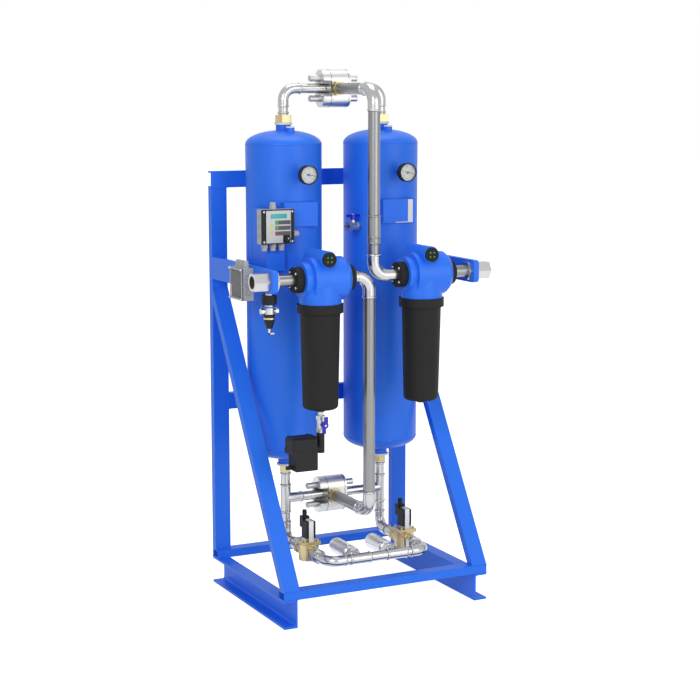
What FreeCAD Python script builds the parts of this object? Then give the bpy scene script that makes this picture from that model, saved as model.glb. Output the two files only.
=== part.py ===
import FreeCAD, Part
import os

import Sketcher
from FreeCAD import Placement, Rotation, Vector

X, Y, Z = Vector(1, 0, 0), Vector(0, 1, 0), Vector(0, 0, 1)

doc = FreeCAD.newDocument("air_dryer")


def fill_sheet(name, rows):
    sheet = doc.addObject("Spreadsheet::Sheet", name)
    for row, (alias, content) in enumerate(rows.items(), start=1):
        sheet.set("A%d" % row, alias.replace("_", " "))
        sheet.set("B%d" % row, str(content))
        sheet.setAlias("B%d" % row, alias)
    doc.recompute()
    return sheet


# Driving sizes in millimetres. X runs along the two towers, Y to the back, Z up;
# the origin is on the floor under the middle of the frame.
SIZES = {
    # Frame of rolled and hollow sections
    "frame_width": 805,
    "frame_depth": 650,
    "frame_height": 1540,
    "foot_height": 100,
    "foot_flange": 50,
    "foot_web": 6,
    "foot_lip": 8,
    "foot_root": 7,
    "tube_height": 30,
    "tube_depth": 50,
    "tube_wall": 3,
    "channel_width": 60,
    "channel_depth": 30,
    "channel_web": 5,
    "channel_lip": 6,
    "lower_beam_level": 661,
    "arm_height": 80,
    "arm_thick": 20,
    "arm_corner": 15,
    "arm_end": 43,
    "brace_gap": 33,
    # Towers
    "side_room": 207.5,
    "tower_standoff": 177,
    "tower_dia": 273,
    "tower_wall": 6,
    "dish_height": 50,
    "shell_low": 550,
    "shell_length": 1090,
    "nozzle_dia": 54,
    "nozzle_bore": 36,
    "nozzle_drop": 71,
    "nozzle_rise": 69,
    "ring_dia": 64,
    "ring_thick": 7.5,
    "nipple_spigot": 15,
    "nipple_bore": 28,
    "nipple_high_flats": 54,
    "nipple_high_length": 26,
    "nipple_low_flats": 40,
    "nipple_low_length": 24,
    "lug_width": 90,
    "lug_height": 46,
    "lug_wall": 6,
    "lug_bolt_pitch": 46,
    "bolt_dia": 10,
    "bolt_flats": 16,
    "bolt_head": 6,
    "nut_height": 8,
    "bed_clearance": 0.3,
    "screen_thick": 4,
    "screen_holes_dia": 22,
    "screen_holes_pcd": 150,
    "fill_offset": 60,
    "fill_boss_dia": 30,
    "fill_rise": 59,
    "plug_dia": 17,
    "plug_head": 4,
    "plug_length": 18,
    "fit_gap": 0.1,
    "run_gap": 0.05,
    # Pressure gauges
    "gauge_drop": 100,
    "gauge_dia": 66,
    "gauge_depth": 24,
    "gauge_reach": 80,
    "gauge_rim": 3,
    "gauge_recess": 8,
    "gauge_stem_dia": 14,
    "gauge_flats": 21,
    "gauge_hex": 14,
    "gauge_boss_dia": 26,
    "gauge_boss_reach": 12,
    "dial_thick": 1,
    "window_thick": 2,
    "pointer_thick": 0.8,
    "pointer_length": 25,
    "pointer_tail": 8,
    "pointer_width": 2.4,
    "pointer_hub_dia": 8,
    "pointer_turn": 100,
    "pivot_dia": 3,
    # Press-fitted piping
    "small_pipe": 35,
    "small_bend": 42,
    "small_leg": 66,
    "large_pipe": 42,
    "large_bend": 50,
    "large_leg": 77,
    "pipe_wall": 1.5,
    "socket_depth": 24,
    "bead_rise": 2.2,
    "bead_width": 8,
    "riser_tee_leg": 54,
    "riser_tee_branch": 65,
    "manifold_tee_leg": 41,
    "manifold_tee_branch": 43,
    "adaptor_high": 27.5,
    "adaptor_low": 48.5,
    "link_length": 32,
    "port_level": 1190,
    "filter_reach": 323,
    "manifold_reach": 365,
    "silencer_pitch": 146,
    "filter_pitch": 398,
    "filter_shift": -7,
    "drop_pitch": 18,
    "port_length": 58.5,
    "port_flats": 59,
    "port_thread": 45,
    "port_thread_depth": 30,
    "port_spigot": 50,
    "locknut_flats": 62,
    "locknut_thick": 12,
    "coupling_rise": 110,
    "coupling_length": 103,
    # Shuttle valves
    "valve_width": 77,
    "valve_height": 135,
    "valve_left": 54,
    "valve_right": 54,
    "valve_port_face": 23,
    "valve_cap_thick": 8,
    "valve_slot": 56,
    "valve_slot_back": 24,
    "chamber_dia": 44,
    "chamber_half": 15,
    "valve_bore": 32,
    "puck_thick": 10,
    "puck_nose_dia": 24,
    "puck_nose": 7,
    "tie_pitch": 72,
    "tie_dia": 12,
    "tie_sleeve_dia": 23,
    "tie_sleeve_length": 40,
    "front_nipple_flats": 50,
    "front_nipple_length": 22,
    "front_nipple_spigot": 12,
    # Exhaust solenoid valves and silencers
    "solenoid_start": 123,
    "solenoid_length": 118,
    "solenoid_barrel": 46,
    "solenoid_flats": 48,
    "solenoid_hex": 20,
    "solenoid_centre": 198,
    "chamber_body_dia": 72,
    "chamber_drop": 29,
    "chamber_rise": 29,
    "bonnet_width": 66,
    "bonnet_thick": 12,
    "bonnet_screw": 8,
    "bonnet_screw_length": 17,
    "bonnet_screw_pitch": 48,
    "core_tube_dia": 15,
    "core_tube_rise": 119,
    "core_wall": 1.5,
    "coil_width": 36,
    "coil_depth": 42,
    "coil_lift": 10,
    "coil_height": 62,
    "coil_strap_width": 18,
    "coil_strap_end": 12,
    "coil_strap_thick": 2,
    "din_width": 28,
    "din_depth": 26,
    "din_height": 40,
    "din_lift": 32,
    "din_gland_dia": 16,
    "din_gland_height": 22,
    "plunger_length": 34,
    "plunger_lift": 52,
    "union_flats": 50,
    "union_nut": 22,
    "union_dia": 40,
    "silencer_dia": 57,
    "silencer_length": 132,
    "silencer_wall": 3,
    "silencer_round": 12,
    "silencer_hex_flats": 46,
    "silencer_hex": 26,
    "silencer_bore": 24,
    # Filters
    "head_dia": 152,
    "head_left": 48,
    "head_right": 93,
    "head_round": 14,
    "head_nose_dia": 130,
    "head_step_dia": 122,
    "head_step": 27,
    "neck_drop": 85,
    "neck_dia": 148,
    "neck_cavity_dia": 124,
    "neck_cavity": 45,
    "port_bore": 40,
    "element_seat": 36,
    "indicator_boss_dia": 58,
    "indicator_rise": 72,
    "indicator_reach": 70,
    "indicator_dia": 50,
    "indicator_thick": 8,
    "flange_dia": 89,
    "flange_thick": 27,
    "flange_socket": 12,
    "flange_screw_dia": 8,
    "flange_screw_head": 4,
    "flange_screw_pcd": 68,
    "collar_dia": 160,
    "collar_height": 30,
    "bowl_top_dia": 139,
    "bowl_low_dia": 124,
    "bowl_length": 338,
    "bowl_wall": 4,
    "bowl_spigot": 18,
    "bowl_corner": 14,
    "stub_dia": 30,
    "stub_length": 10,
    "drain_bore": 10,
    "element_dia": 84,
    "element_length": 300,
    "element_gap": 8,
    "element_cap": 10,
    "element_lip": 3,
    "element_stand": 2,
    # Ball valves and level drain
    "ball_body_dia": 28,
    "ball_body_length": 60,
    "ball_hex_flats": 30,
    "ball_hex": 14,
    "ball_dia": 19,
    "ball_bore": 10,
    "ball_bonnet_dia": 16,
    "ball_bonnet": 23,
    "ball_stem_dia": 6,
    "ball_stem": 42,
    "stem_root": 2,
    "lever_thick": 9,
    "lever_width": 11,
    "lever_shift": 4,
    "lever_length": 58,
    "lever_hub_dia": 22,
    "drain_nipple": 14,
    "drain_nipple_dia": 20,
    "drain_elbow_dia": 28,
    "drain_elbow_drop": 72,
    "drain_arm_dia": 24,
    "drain_width": 82,
    "drain_depth": 66,
    "drain_drop": 48.5,
    "drain_height": 78,
    "drain_lid": 40,
    "drain_lid_width": 97,
    "drain_lid_over": 5,
    "drain_lid_round": 13,
    "drain_step_high": 18,
    "drain_step_low": 26,
    "drain_gap": 26,
    "drain_outlet_dia": 14,
    "drain_outlet_lift": 4,
    "drain_outlet": 24,
    # Pilot-air regulator
    "regulator_back": 12,
    "knob_dia": 50,
    "knob_height": 32,
    "knob_gap": 8,
    "reg_neck_dia": 32,
    "reg_neck": 12,
    "reg_body_dia": 37,
    "reg_body": 20,
    "reg_port_dia": 17,
    "reg_port": 32,
    "reg_port_drop": 10,
    "reg_fit_flats": 20,
    "reg_fit": 11,
    "reg_ring": 24,
    "reg_bowl": 26,
    "reg_bowl_tip": 20,
    "reg_barb_dia": 6,
    "reg_barb": 22,
    "reg_screw_dia": 10,
    "knob_hole": 18,
    "reg_plate": 3,
    "hanger_width": 44,
    "hanger_front": 20,
    "hanger_gap": 2,
    # Control box, junction box, plates and sample port
    "box_width": 124,
    "box_height": 120,
    "box_depth": 36,
    "box_wall": 3,
    "box_offset": 110,
    "box_drop": 277,
    "box_reach": 193,
    "cover_thick": 3,
    "switch_dia": 22,
    "switch_depth": 10,
    "switch_x": 33,
    "switch_z": -42,
    "switch_shaft": 6,
    "switch_pin": 9,
    "strip_width": 70,
    "strip_offset": 10,
    "strip_drop": 98,
    "strip_thick": 4,
    "name_width": 130,
    "name_height": 85,
    "name_drop": 241,
    "name_gap": 12,
    "name_thick": 3,
    "junction_depth": 38,
    "junction_width": 108,
    "junction_height": 112,
    "junction_back": 176,
    "junction_drop": 22,
    "junction_wall": 3,
    "junction_cover": 5,
    "gland_dia": 20,
    "gland_height": 24,
    "gland_pitch": 32,
    "gland_flats": 22,
    "side_gland_lift": 32,
    "sample_drop": 295,
    "sample_turn": 28.6,
    "sample_nipple": 10,
}
dims = fill_sheet("dims", SIZES)

# Levels and places that follow from the driving sizes.
PLACES = {
    "frame_left": "=-dims.frame_width / 2",
    "frame_front": "=-dims.frame_depth / 2",
    "frame_back": "=dims.frame_depth / 2",
    "base_top": "=dims.foot_height + dims.tube_height",
    "post_front": "=frame_back - dims.channel_depth",
    "post_inner": "=frame_left + dims.channel_width",
    "tower_line": "=post_front - dims.tower_standoff",
    "filter_line": "=tower_line - dims.filter_reach",
    "manifold_line": "=tower_line - dims.manifold_reach",
    "box_front": "=tower_line - dims.box_reach",
    "junction_centre": "=filter_line + dims.junction_back",
    "top_beam_low": "=dims.frame_height - dims.channel_width",
    "arm_front": "=filter_line - dims.arm_end",
    "arm_low": "=dims.port_level - dims.arm_height / 2",
    "arm_middle": "=frame_left + dims.arm_thick / 2",
    "brace_top": "=arm_low - dims.brace_gap",
    "brace_slope": "=(brace_top - base_top) / (post_front - frame_front)",
    "brace_skew": "=sqrt(1 + brace_slope * brace_slope)",
    "brace_drop": "=dims.channel_depth * brace_skew",
    "brace_across": "=brace_drop / brace_slope",
    "web_drop": "=dims.channel_web * brace_skew",
    "web_across": "=web_drop / brace_slope",
    "tower_left": "=frame_left + dims.side_room",
    "tower_right": "=-tower_left",
    "tower_radius": "=dims.tower_dia / 2",
    "tower_inner": "=tower_radius - dims.tower_wall",
    "tower_face": "=tower_line - tower_radius",
    "shell_high": "=dims.shell_low + dims.shell_length",
    "nozzle_high": "=shell_high + dims.nozzle_rise",
    "nozzle_low": "=dims.shell_low - dims.nozzle_drop",
    "nipple_high_low": "=nozzle_high + dims.ring_thick",
    "nipple_high_top": "=nipple_high_low + dims.nipple_high_length",
    "nipple_low_high": "=nozzle_low - dims.ring_thick",
    "nipple_low_low": "=nipple_low_high - dims.nipple_low_length",
    "top_line": "=nipple_high_top + dims.adaptor_high + dims.small_leg",
    "bottom_line": "=nipple_low_low - dims.adaptor_low - dims.riser_tee_leg",
    "exhaust_line": "=bottom_line - dims.riser_tee_leg - dims.link_length - dims.small_leg",
    "fill_level": "=shell_high + dims.fill_rise",
    "bed_low": "=dims.shell_low + dims.screen_thick",
    "bed_high": "=shell_high - dims.screen_thick",
    "gauge_level": "=shell_high - dims.gauge_drop",
    "gauge_front": "=tower_face - dims.gauge_reach",
    "gauge_back": "=gauge_front + dims.gauge_depth",
    "gauge_boss_front": "=tower_face - dims.gauge_boss_reach",
    "dial_front": "=gauge_front + dims.gauge_recess - dims.dial_thick",
    "port_reach": "=dims.frame_width / 2 + dims.port_length",
    "upper_x": "=dims.filter_shift + dims.drop_pitch / 2",
    "lower_x": "=dims.filter_shift - dims.drop_pitch / 2",
    "pre_x": "=dims.filter_shift - dims.filter_pitch / 2",
    "after_x": "=dims.filter_shift + dims.filter_pitch / 2",
    "small_fitting": "=dims.small_pipe / 2 + dims.fit_gap + dims.pipe_wall",
    "large_fitting": "=dims.large_pipe / 2 + dims.fit_gap + dims.pipe_wall",
    "coupling_low": "=dims.port_level + dims.coupling_rise",
    "valve_front": "=tower_line - dims.valve_width / 2",
    "front_nipple_end": "=valve_front - dims.front_nipple_length",
    "solenoid_back": "=tower_line - dims.solenoid_start",
    "solenoid_front": "=solenoid_back - dims.solenoid_length",
    "coil_line": "=tower_line - dims.solenoid_centre",
    "chamber_low": "=exhaust_line - dims.chamber_drop",
    "chamber_high": "=exhaust_line + dims.chamber_rise",
    "bonnet_top": "=chamber_high + dims.bonnet_thick",
    "core_tube_top": "=exhaust_line + dims.core_tube_rise",
    "coil_low": "=bonnet_top + dims.coil_lift",
    "din_low": "=coil_low + dims.din_lift",
    "plunger_low": "=exhaust_line + dims.plunger_lift",
    "manifold_leg_end": "=manifold_line + dims.small_leg",
    "tee_left": "=-dims.silencer_pitch / 2",
    "tee_right": "=dims.silencer_pitch / 2",
    "silencer_start": "=manifold_line + dims.manifold_tee_branch",
    "neck_low": "=dims.port_level - dims.neck_drop",
    "neck_cavity_top": "=neck_low + dims.neck_cavity",
    "collar_low": "=neck_low - dims.collar_height",
    "head_flange_left": "=dims.head_left + dims.head_step",
    "flange_in": "=head_flange_left + dims.flange_thick",
    "flange_out": "=dims.head_right + dims.flange_thick",
    "bowl_low": "=collar_low - dims.bowl_length",
    "stub_low": "=bowl_low - dims.stub_length",
    "ball_centre": "=stub_low - dims.drain_nipple - dims.ball_body_length / 2",
    "ball_low": "=stub_low - dims.drain_nipple - dims.ball_body_length",
    "drain_right": "=pre_x - dims.drain_gap",
    "drain_high": "=ball_low - dims.drain_drop",
    "drain_low": "=drain_high - dims.drain_height",
    "knob_top": "=arm_low - dims.knob_gap",
    "reg_line": "=filter_line + dims.regulator_back",
    "reg_neck_low": "=knob_top - dims.knob_height - dims.reg_neck",
    "reg_body_low": "=reg_neck_low - dims.reg_body",
    "reg_ring_low": "=reg_body_low - dims.reg_ring",
    "box_centre": "=tower_left - dims.box_offset",
    "box_level": "=shell_high - dims.box_drop",
    "box_back": "=box_front + dims.cover_thick + dims.box_depth",
    "box_low": "=box_level - dims.box_height / 2",
    "box_left": "=box_centre - dims.box_width / 2",
    "strip_low": "=box_low - dims.strip_drop",
    "name_front": "=tower_face - dims.name_gap",
    "name_low": "=shell_high - dims.name_drop - dims.name_height / 2",
    "junction_low": "=dims.port_level - dims.junction_drop - dims.junction_height / 2",
    "junction_front": "=junction_centre - dims.junction_width / 2",
    "sample_level": "=shell_high - dims.sample_drop",
}
at = fill_sheet("at", PLACES)


def value(alias):
    sheet = dims if dims.getCellFromAlias(alias) else at
    return float(sheet.get(alias))


def place(obj, x, y, z, rotation=None):
    if rotation is not None:
        obj.Placement = Placement(Vector(), rotation)
    for letter, text in zip("xyz", (x, y, z)):
        obj.setExpression("Placement.Base." + letter, text)
    return obj


def box(name, length, width, height, x, y, z):
    obj = doc.addObject("Part::Box", name)
    obj.setExpression("Length", length)
    obj.setExpression("Width", width)
    obj.setExpression("Height", height)
    return place(obj, x, y, z)


def along(direction):
    return Rotation(Z, direction)


def rod(name, diameter, length, x, y, z, direction=Z):
    """A cylinder that starts at x, y, z and runs along direction."""
    obj = doc.addObject("Part::Cylinder", name)
    obj.setExpression("Radius", "(%s) / 2" % diameter)
    obj.setExpression("Height", length)
    return place(obj, x, y, z, along(direction))


def taper(name, low_diameter, high_diameter, length, x, y, z, direction=Z):
    obj = doc.addObject("Part::Cone", name)
    obj.setExpression("Radius1", "(%s) / 2" % low_diameter)
    obj.setExpression("Radius2", "(%s) / 2" % high_diameter)
    obj.setExpression("Height", length)
    return place(obj, x, y, z, along(direction))


def hexagon(name, flats, length, x, y, z, direction=Z, turn=0):
    """A hexagonal prism across flats, its corner turned about its own axis."""
    obj = doc.addObject("Part::Prism", name)
    obj.Polygon = 6
    obj.setExpression("Circumradius", "(%s) / sqrt(3)" % flats)
    obj.setExpression("Height", length)
    return place(obj, x, y, z, along(direction).multiply(Rotation(Z, turn)))


def bead(name, radius, x, y, z, direction=Z):
    """The rolled bead of a press fitting, which holds its seal."""
    obj = doc.addObject("Part::Torus", name)
    obj.setExpression("Radius1", "(%s) - dims.bead_width / 2 + dims.bead_rise" % radius)
    obj.setExpression("Radius2", "dims.bead_width / 2")
    return place(obj, x, y, z, along(direction))


def fuse(name, *parts):
    obj = doc.addObject("Part::MultiFuse", name)
    obj.Shapes = list(parts)
    return obj


def cut(name, base, *tools):
    obj = doc.addObject("Part::Cut", name)
    obj.Base = base
    obj.Tool = tools[0] if len(tools) == 1 else fuse(name + "_tools", *tools)
    return obj


def tube(name, outer, inner, length, x, y, z, direction=Z):
    return cut(name, rod(name + "_outer", outer, length, x, y, z, direction),
               rod(name + "_inner", inner, length, x, y, z, direction))


def mirrored(name, source):
    obj = doc.addObject("Part::Mirroring", name)
    obj.Source = source
    obj.Normal = X
    return obj


def copy_of(name, source, x, y, z, rotation=None):
    obj = doc.addObject("App::Link", name)
    obj.LinkedObject = source
    return place(obj, x, y, z, rotation or Rotation())


def group(name, *parts):
    obj = doc.addObject("Part::Compound", name)
    obj.Links = list(parts)
    return obj


def outline(body, plane_role, points):
    """A closed outline of straight edges, each corner held by its two sizes."""
    sketch = body.newObject("Sketcher::SketchObject", body.Name + "_outline")
    plane = [f for f in body.Origin.OriginFeatures if f.Role == plane_role][0]
    sketch.AttachmentSupport = [(plane, "")]
    sketch.MapMode = "FlatFace"
    count = len(points)
    rough = [Vector(10 * i, 7 * i * i, 0) for i in range(count)]
    for i in range(count):
        sketch.addGeometry(Part.LineSegment(rough[i], rough[(i + 1) % count]))
    for i in range(count):
        sketch.addConstraint(Sketcher.Constraint("Coincident", i, 2, (i + 1) % count, 1))
    for i, corner in enumerate(points):
        for kind, text in zip(("DistanceX", "DistanceY"), corner):
            index = sketch.addConstraint(Sketcher.Constraint(kind, -1, 1, i, 1, 1.0))
            sketch.setExpression("Constraints[%d]" % index, text)
    return sketch


def extruded(name, plane_role, points, length):
    """A profile padded evenly to both sides of its plane."""
    body = doc.addObject("PartDesign::Body", name)
    sketch = outline(body, plane_role, points)
    pad = body.newObject("PartDesign::Pad", name + "_pad")
    pad.Profile = sketch
    pad.SideType = "Symmetric"
    pad.setExpression("Length", length)
    return body


def turned(name, points):
    """A profile of radius and height, revolved about Z."""
    body = doc.addObject("PartDesign::Body", name)
    sketch = outline(body, "XZ_Plane", points)
    turn = body.newObject("PartDesign::Revolution", name + "_turn")
    turn.Profile = sketch
    turn.ReferenceAxis = (sketch, ["V_Axis"])
    turn.Angle = 360
    return body


def rounded(body, radius, test, kind="Part::GeomLine"):
    """Fillets the edges of one kind that pass a test of their middle point and direction."""
    doc.recompute()
    base = body.Tip
    names = []
    for number, edge in enumerate(base.Shape.Edges, start=1):
        if edge.Curve.TypeId != kind:
            continue
        middle = edge.valueAt((edge.FirstParameter + edge.LastParameter) / 2)
        if test(middle, edge.tangentAt(edge.FirstParameter)):
            names.append("Edge%d" % number)
    fillet = body.newObject("PartDesign::Fillet", body.Name + "_round")
    fillet.Base = (base, names)
    fillet.setExpression("Radius", radius)
    return body


nodes = []


def node(obj, label):
    obj.Label = label
    nodes.append(obj)
    return obj


# Foot channels: rolled U sections lying along Y, flanges to the outside.
foot = extruded("foot", "XZ_Plane", [
    ("0", "0"),
    ("dims.foot_flange", "0"),
    ("dims.foot_flange", "dims.foot_height"),
    ("0", "dims.foot_height"),
    ("0", "dims.foot_height - dims.foot_lip"),
    ("dims.foot_flange - dims.foot_web", "dims.foot_height - dims.foot_lip"),
    ("dims.foot_flange - dims.foot_web", "dims.foot_lip"),
    ("0", "dims.foot_lip"),
], "dims.frame_depth")
inner_web = value("foot_flange") - value("foot_web")
rounded(foot, "dims.foot_root",
        lambda middle, line: abs(line.y) > 0.9 and abs(middle.x - inner_web) < 0.01)
place(foot, "at.frame_left", "0", "0")
node(group("feet", foot, mirrored("foot_mirror", foot)), "foot_channels")


# Base tubes: rectangular hollow sections across the front and the back of the feet.
def base_tube(name, y):
    outer = box(name + "_outer", "dims.frame_width", "dims.tube_depth", "dims.tube_height",
                "at.frame_left", y, "dims.foot_height")
    inner = box(name + "_inner", "dims.frame_width", "dims.tube_depth - 2 * dims.tube_wall",
                "dims.tube_height - 2 * dims.tube_wall", "at.frame_left", y + " + dims.tube_wall",
                "dims.foot_height + dims.tube_wall")
    return cut(name, outer, inner)


front_tube = base_tube("front_tube", "at.frame_front")
back_tube = base_tube("back_tube", "at.frame_back - dims.tube_depth")
node(group("tubes", front_tube, back_tube), "base_tubes")


# Posts and cross beams: U sections with the web to the front.
def channel(name, length, height, x, z, upright):
    outer = box(name + "_outer", length, "dims.channel_depth", height, x, "at.post_front", z)
    if upright:
        inner = box(name + "_inner", length + " - 2 * dims.channel_lip",
                    "dims.channel_depth - dims.channel_web", height, x + " + dims.channel_lip",
                    "at.post_front + dims.channel_web", z)
    else:
        inner = box(name + "_inner", length, "dims.channel_depth - dims.channel_web",
                    height + " - 2 * dims.channel_lip", x, "at.post_front + dims.channel_web",
                    z + " + dims.channel_lip")
    return cut(name, outer, inner)


post = channel("post", "dims.channel_width", "at.top_beam_low - at.base_top",
               "at.frame_left", "at.base_top", True)
node(group("posts", post, mirrored("post_mirror", post)), "back_posts")


def beam(name, x, length, z):
    """A cross beam with the bolt holes of both towers' lugs."""
    profile = channel(name + "_profile", length, "dims.channel_width", x, z, False)
    holes = []
    for tower in ("at.tower_left", "at.tower_right"):
        for side in ("-", "+"):
            where = "%s %s dims.lug_bolt_pitch / 2" % (tower, side)
            holes.append(rod("%s_hole%d" % (name, len(holes)), "dims.bolt_dia + 2 * dims.fit_gap",
                             "dims.channel_web", where, "at.post_front",
                             z + " + dims.channel_width / 2", Y))
    return cut(name, profile, *holes)


node(beam("upper_beam", "at.frame_left", "dims.frame_width", "at.top_beam_low"), "beam_top")
node(beam("mid_beam", "at.post_inner", "dims.frame_width - 2 * dims.channel_width",
          "dims.lower_beam_level"), "beam_lower")


# Side braces: U sections from the front tube up to the posts, web to the front.
brace_side = extruded("brace_side", "YZ_Plane", [
    ("at.frame_front", "at.base_top"),
    ("at.frame_front + at.brace_across", "at.base_top"),
    ("at.post_front", "at.brace_top - at.brace_drop"),
    ("at.post_front", "at.brace_top"),
], "dims.channel_width")
brace_hollow = extruded("brace_hollow", "YZ_Plane", [
    ("at.frame_front + at.web_across", "at.base_top"),
    ("at.frame_front + 2 * at.brace_across", "at.base_top"),
    ("at.post_front", "at.brace_top - 2 * at.brace_drop"),
    ("at.post_front", "at.brace_top - at.web_drop"),
], "dims.channel_width - 2 * dims.channel_lip")
place(brace_side, "at.frame_left + dims.channel_width / 2", "0", "0")
place(brace_hollow, "at.frame_left + dims.channel_width / 2", "0", "0")
brace = cut("brace", brace_side, brace_hollow)
node(group("braces", brace, mirrored("brace_mirror", brace)), "side_braces")

# Pipe arms: flat bars from the posts to the front, bored for the ports.
arm_bar = extruded("arm_bar", "YZ_Plane", [
    ("at.arm_front", "at.arm_low"),
    ("at.post_front", "at.arm_low"),
    ("at.post_front", "at.arm_low + dims.arm_height"),
    ("at.arm_front", "at.arm_low + dims.arm_height"),
], "dims.arm_thick")
rounded(arm_bar, "dims.arm_corner",
        lambda middle, line: abs(line.x) > 0.9 and abs(middle.y - value("arm_front")) < 0.01)
place(arm_bar, "at.arm_middle", "0", "0")
arm_hole = rod("arm_hole", "dims.port_spigot + 2 * dims.fit_gap", "dims.arm_thick",
               "at.frame_left", "at.filter_line", "dims.port_level", X)
arm = cut("arm", arm_bar, arm_hole)
node(group("arms", arm, mirrored("arm_mirror", arm)), "pipe_arms")


# Towers: welded vessels with dished ends, nozzles, bosses and the lugs that bolt to the beams.
def dish(name, radius, height, x, z, start, end):
    obj = doc.addObject("Part::Ellipsoid", name)
    obj.setExpression("Radius1", height)
    obj.setExpression("Radius2", radius)
    obj.setExpression("Radius3", radius)
    obj.Angle1 = start
    obj.Angle2 = end
    return place(obj, x, "at.tower_line", z)


def shell(name, x, radius, height):
    length = "at.shell_high - dims.shell_low"
    return [
        rod(name + "_barrel", "2 * (%s)" % radius, length, x, "at.tower_line", "dims.shell_low"),
        dish(name + "_top", radius, height, x, "at.shell_high", 0, 90),
        dish(name + "_low", radius, height, x, "dims.shell_low", -90, 0),
    ]


def lug(name, x, level):
    """A U bracket on the back of a tower, its legs cut to the round wall and its plate on the beam."""
    depth = "at.post_front - at.tower_line"
    low = level + " - dims.lug_height / 2"
    outer = box(name + "_outer", "dims.lug_width", depth, "dims.lug_height",
                x + " - dims.lug_width / 2", "at.tower_line", low)
    inner = box(name + "_inner", "dims.lug_width - 2 * dims.lug_wall", depth + " - dims.lug_wall",
                "dims.lug_height", x + " - dims.lug_width / 2 + dims.lug_wall", "at.tower_line", low)
    holes = [
        rod("%s_hole%d" % (name, i), "dims.bolt_dia + 2 * dims.fit_gap", "dims.lug_wall",
            "%s %s dims.lug_bolt_pitch / 2" % (x, side), "at.post_front - dims.lug_wall", level, Y)
        for i, side in enumerate("-+")
    ]
    skin = rod(name + "_skin", "dims.tower_dia", "dims.lug_height", x, "at.tower_line", low)
    return cut(name, outer, inner, skin, *holes)


lug_levels = ("dims.lower_beam_level + dims.channel_width / 2", "dims.frame_height - dims.channel_width / 2")


def vessel(name, x, with_sample_port):
    axis = (x, "at.tower_line")
    solid = shell(name + "_skin", x, "at.tower_radius", "dims.dish_height")
    solid += [
        rod(name + "_nozzle_top", "dims.nozzle_dia", "at.nozzle_high - at.shell_high", *axis,
            "at.shell_high"),
        rod(name + "_nozzle_low", "dims.nozzle_dia", "dims.shell_low - at.nozzle_low", *axis,
            "at.nozzle_low"),
        rod(name + "_gauge_boss", "dims.gauge_boss_dia", "at.tower_radius + dims.gauge_boss_reach", x,
            "at.gauge_boss_front", "at.gauge_level", Y),
        rod(name + "_fill_boss", "dims.fill_boss_dia", "at.fill_level - at.shell_high", x,
            "at.tower_line - dims.fill_offset", "at.shell_high"),
    ]
    hollow = shell(name + "_room", x, "at.tower_inner", "dims.dish_height - dims.tower_wall")
    hollow += [
        rod(name + "_bore", "dims.nozzle_bore", "at.nozzle_high - at.nozzle_low", *axis,
            "at.nozzle_low"),
        rod(name + "_gauge_bore", "dims.gauge_stem_dia + 2 * dims.fit_gap", "at.tower_radius", x,
            "at.gauge_boss_front", "at.gauge_level", Y),
        rod(name + "_fill_bore", "dims.plug_dia + 2 * dims.fit_gap", "at.fill_level - at.shell_high",
            x, "at.tower_line - dims.fill_offset", "at.shell_high"),
    ]
    if with_sample_port:
        outward = Rotation(Z, value("sample_turn")).multVec(-X)
        solid.append(rod(name + "_sample_boss", "dims.ball_body_dia",
                         "at.tower_radius + dims.sample_nipple", *axis, "at.sample_level", outward))
        hollow.append(rod(name + "_sample_bore", "dims.ball_bore",
                          "at.tower_radius + dims.sample_nipple", *axis, "at.sample_level", outward))
    skin = cut(name, fuse(name + "_solid", *solid), fuse(name + "_hollow", *hollow))
    lugs = [lug("%s_lug%d" % (name, i), x, level) for i, level in enumerate(lug_levels)]
    return group(name + "_set", skin, *lugs)


node(vessel("left_tower", "at.tower_left", False), "vessel_left")
node(vessel("right_tower", "at.tower_right", True), "vessel_right")


# Desiccant beds between two perforated screens in each tower.
def bed(name, x):
    return rod(name, "2 * (at.tower_inner - dims.bed_clearance)",
               "at.bed_high - at.bed_low - 2 * dims.bed_clearance", x, "at.tower_line",
               "at.bed_low + dims.bed_clearance")


node(group("bed_pair", bed("left_bed", "at.tower_left"), bed("right_bed", "at.tower_right")),
     "desiccant_beds")

def spokes(count, start, pitch):
    """The places of evenly spaced holes or screws on a circle, as two expressions each."""
    for i in range(count):
        way = Rotation(Z, start + 360.0 * i / count).multVec(X)
        yield ["%.6f * %s / 2" % (step, pitch) for step in (way.x, way.y)]


screen_disc = rod("screen_disc", "2 * (at.tower_inner - dims.bed_clearance)", "dims.screen_thick",
                  "0", "0", "0")
screen_holes = [rod("screen_hole_centre", "dims.screen_holes_dia", "dims.screen_thick", "0", "0", "0")]
for i, spot in enumerate(spokes(6, 0, "dims.screen_holes_pcd")):
    screen_holes.append(rod("screen_hole%d" % i, "dims.screen_holes_dia", "dims.screen_thick", *spot,
                            "0"))
screen = cut("screen", screen_disc, *screen_holes)
screens = []
for x in ("at.tower_left", "at.tower_right"):
    for z in ("dims.shell_low", "at.bed_high"):
        screens.append(copy_of("screen%d" % len(screens), screen, x, "at.tower_line", z))
node(group("screens", *screens), "bed_screens")

# Fill plugs in the bosses on the upper dishes.
plugs = []
for x in ("at.tower_left", "at.tower_right"):
    name = "plug%d" % len(plugs)
    line = "at.tower_line - dims.fill_offset"
    plugs.append(fuse(name,
                      rod(name + "_stem", "dims.plug_dia", "dims.plug_length", x, line,
                          "at.fill_level - dims.plug_length"),
                      rod(name + "_head", "dims.fill_boss_dia", "dims.plug_head", x, line,
                          "at.fill_level")))
node(group("plug_pair", *plugs), "fill_plugs")


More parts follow.
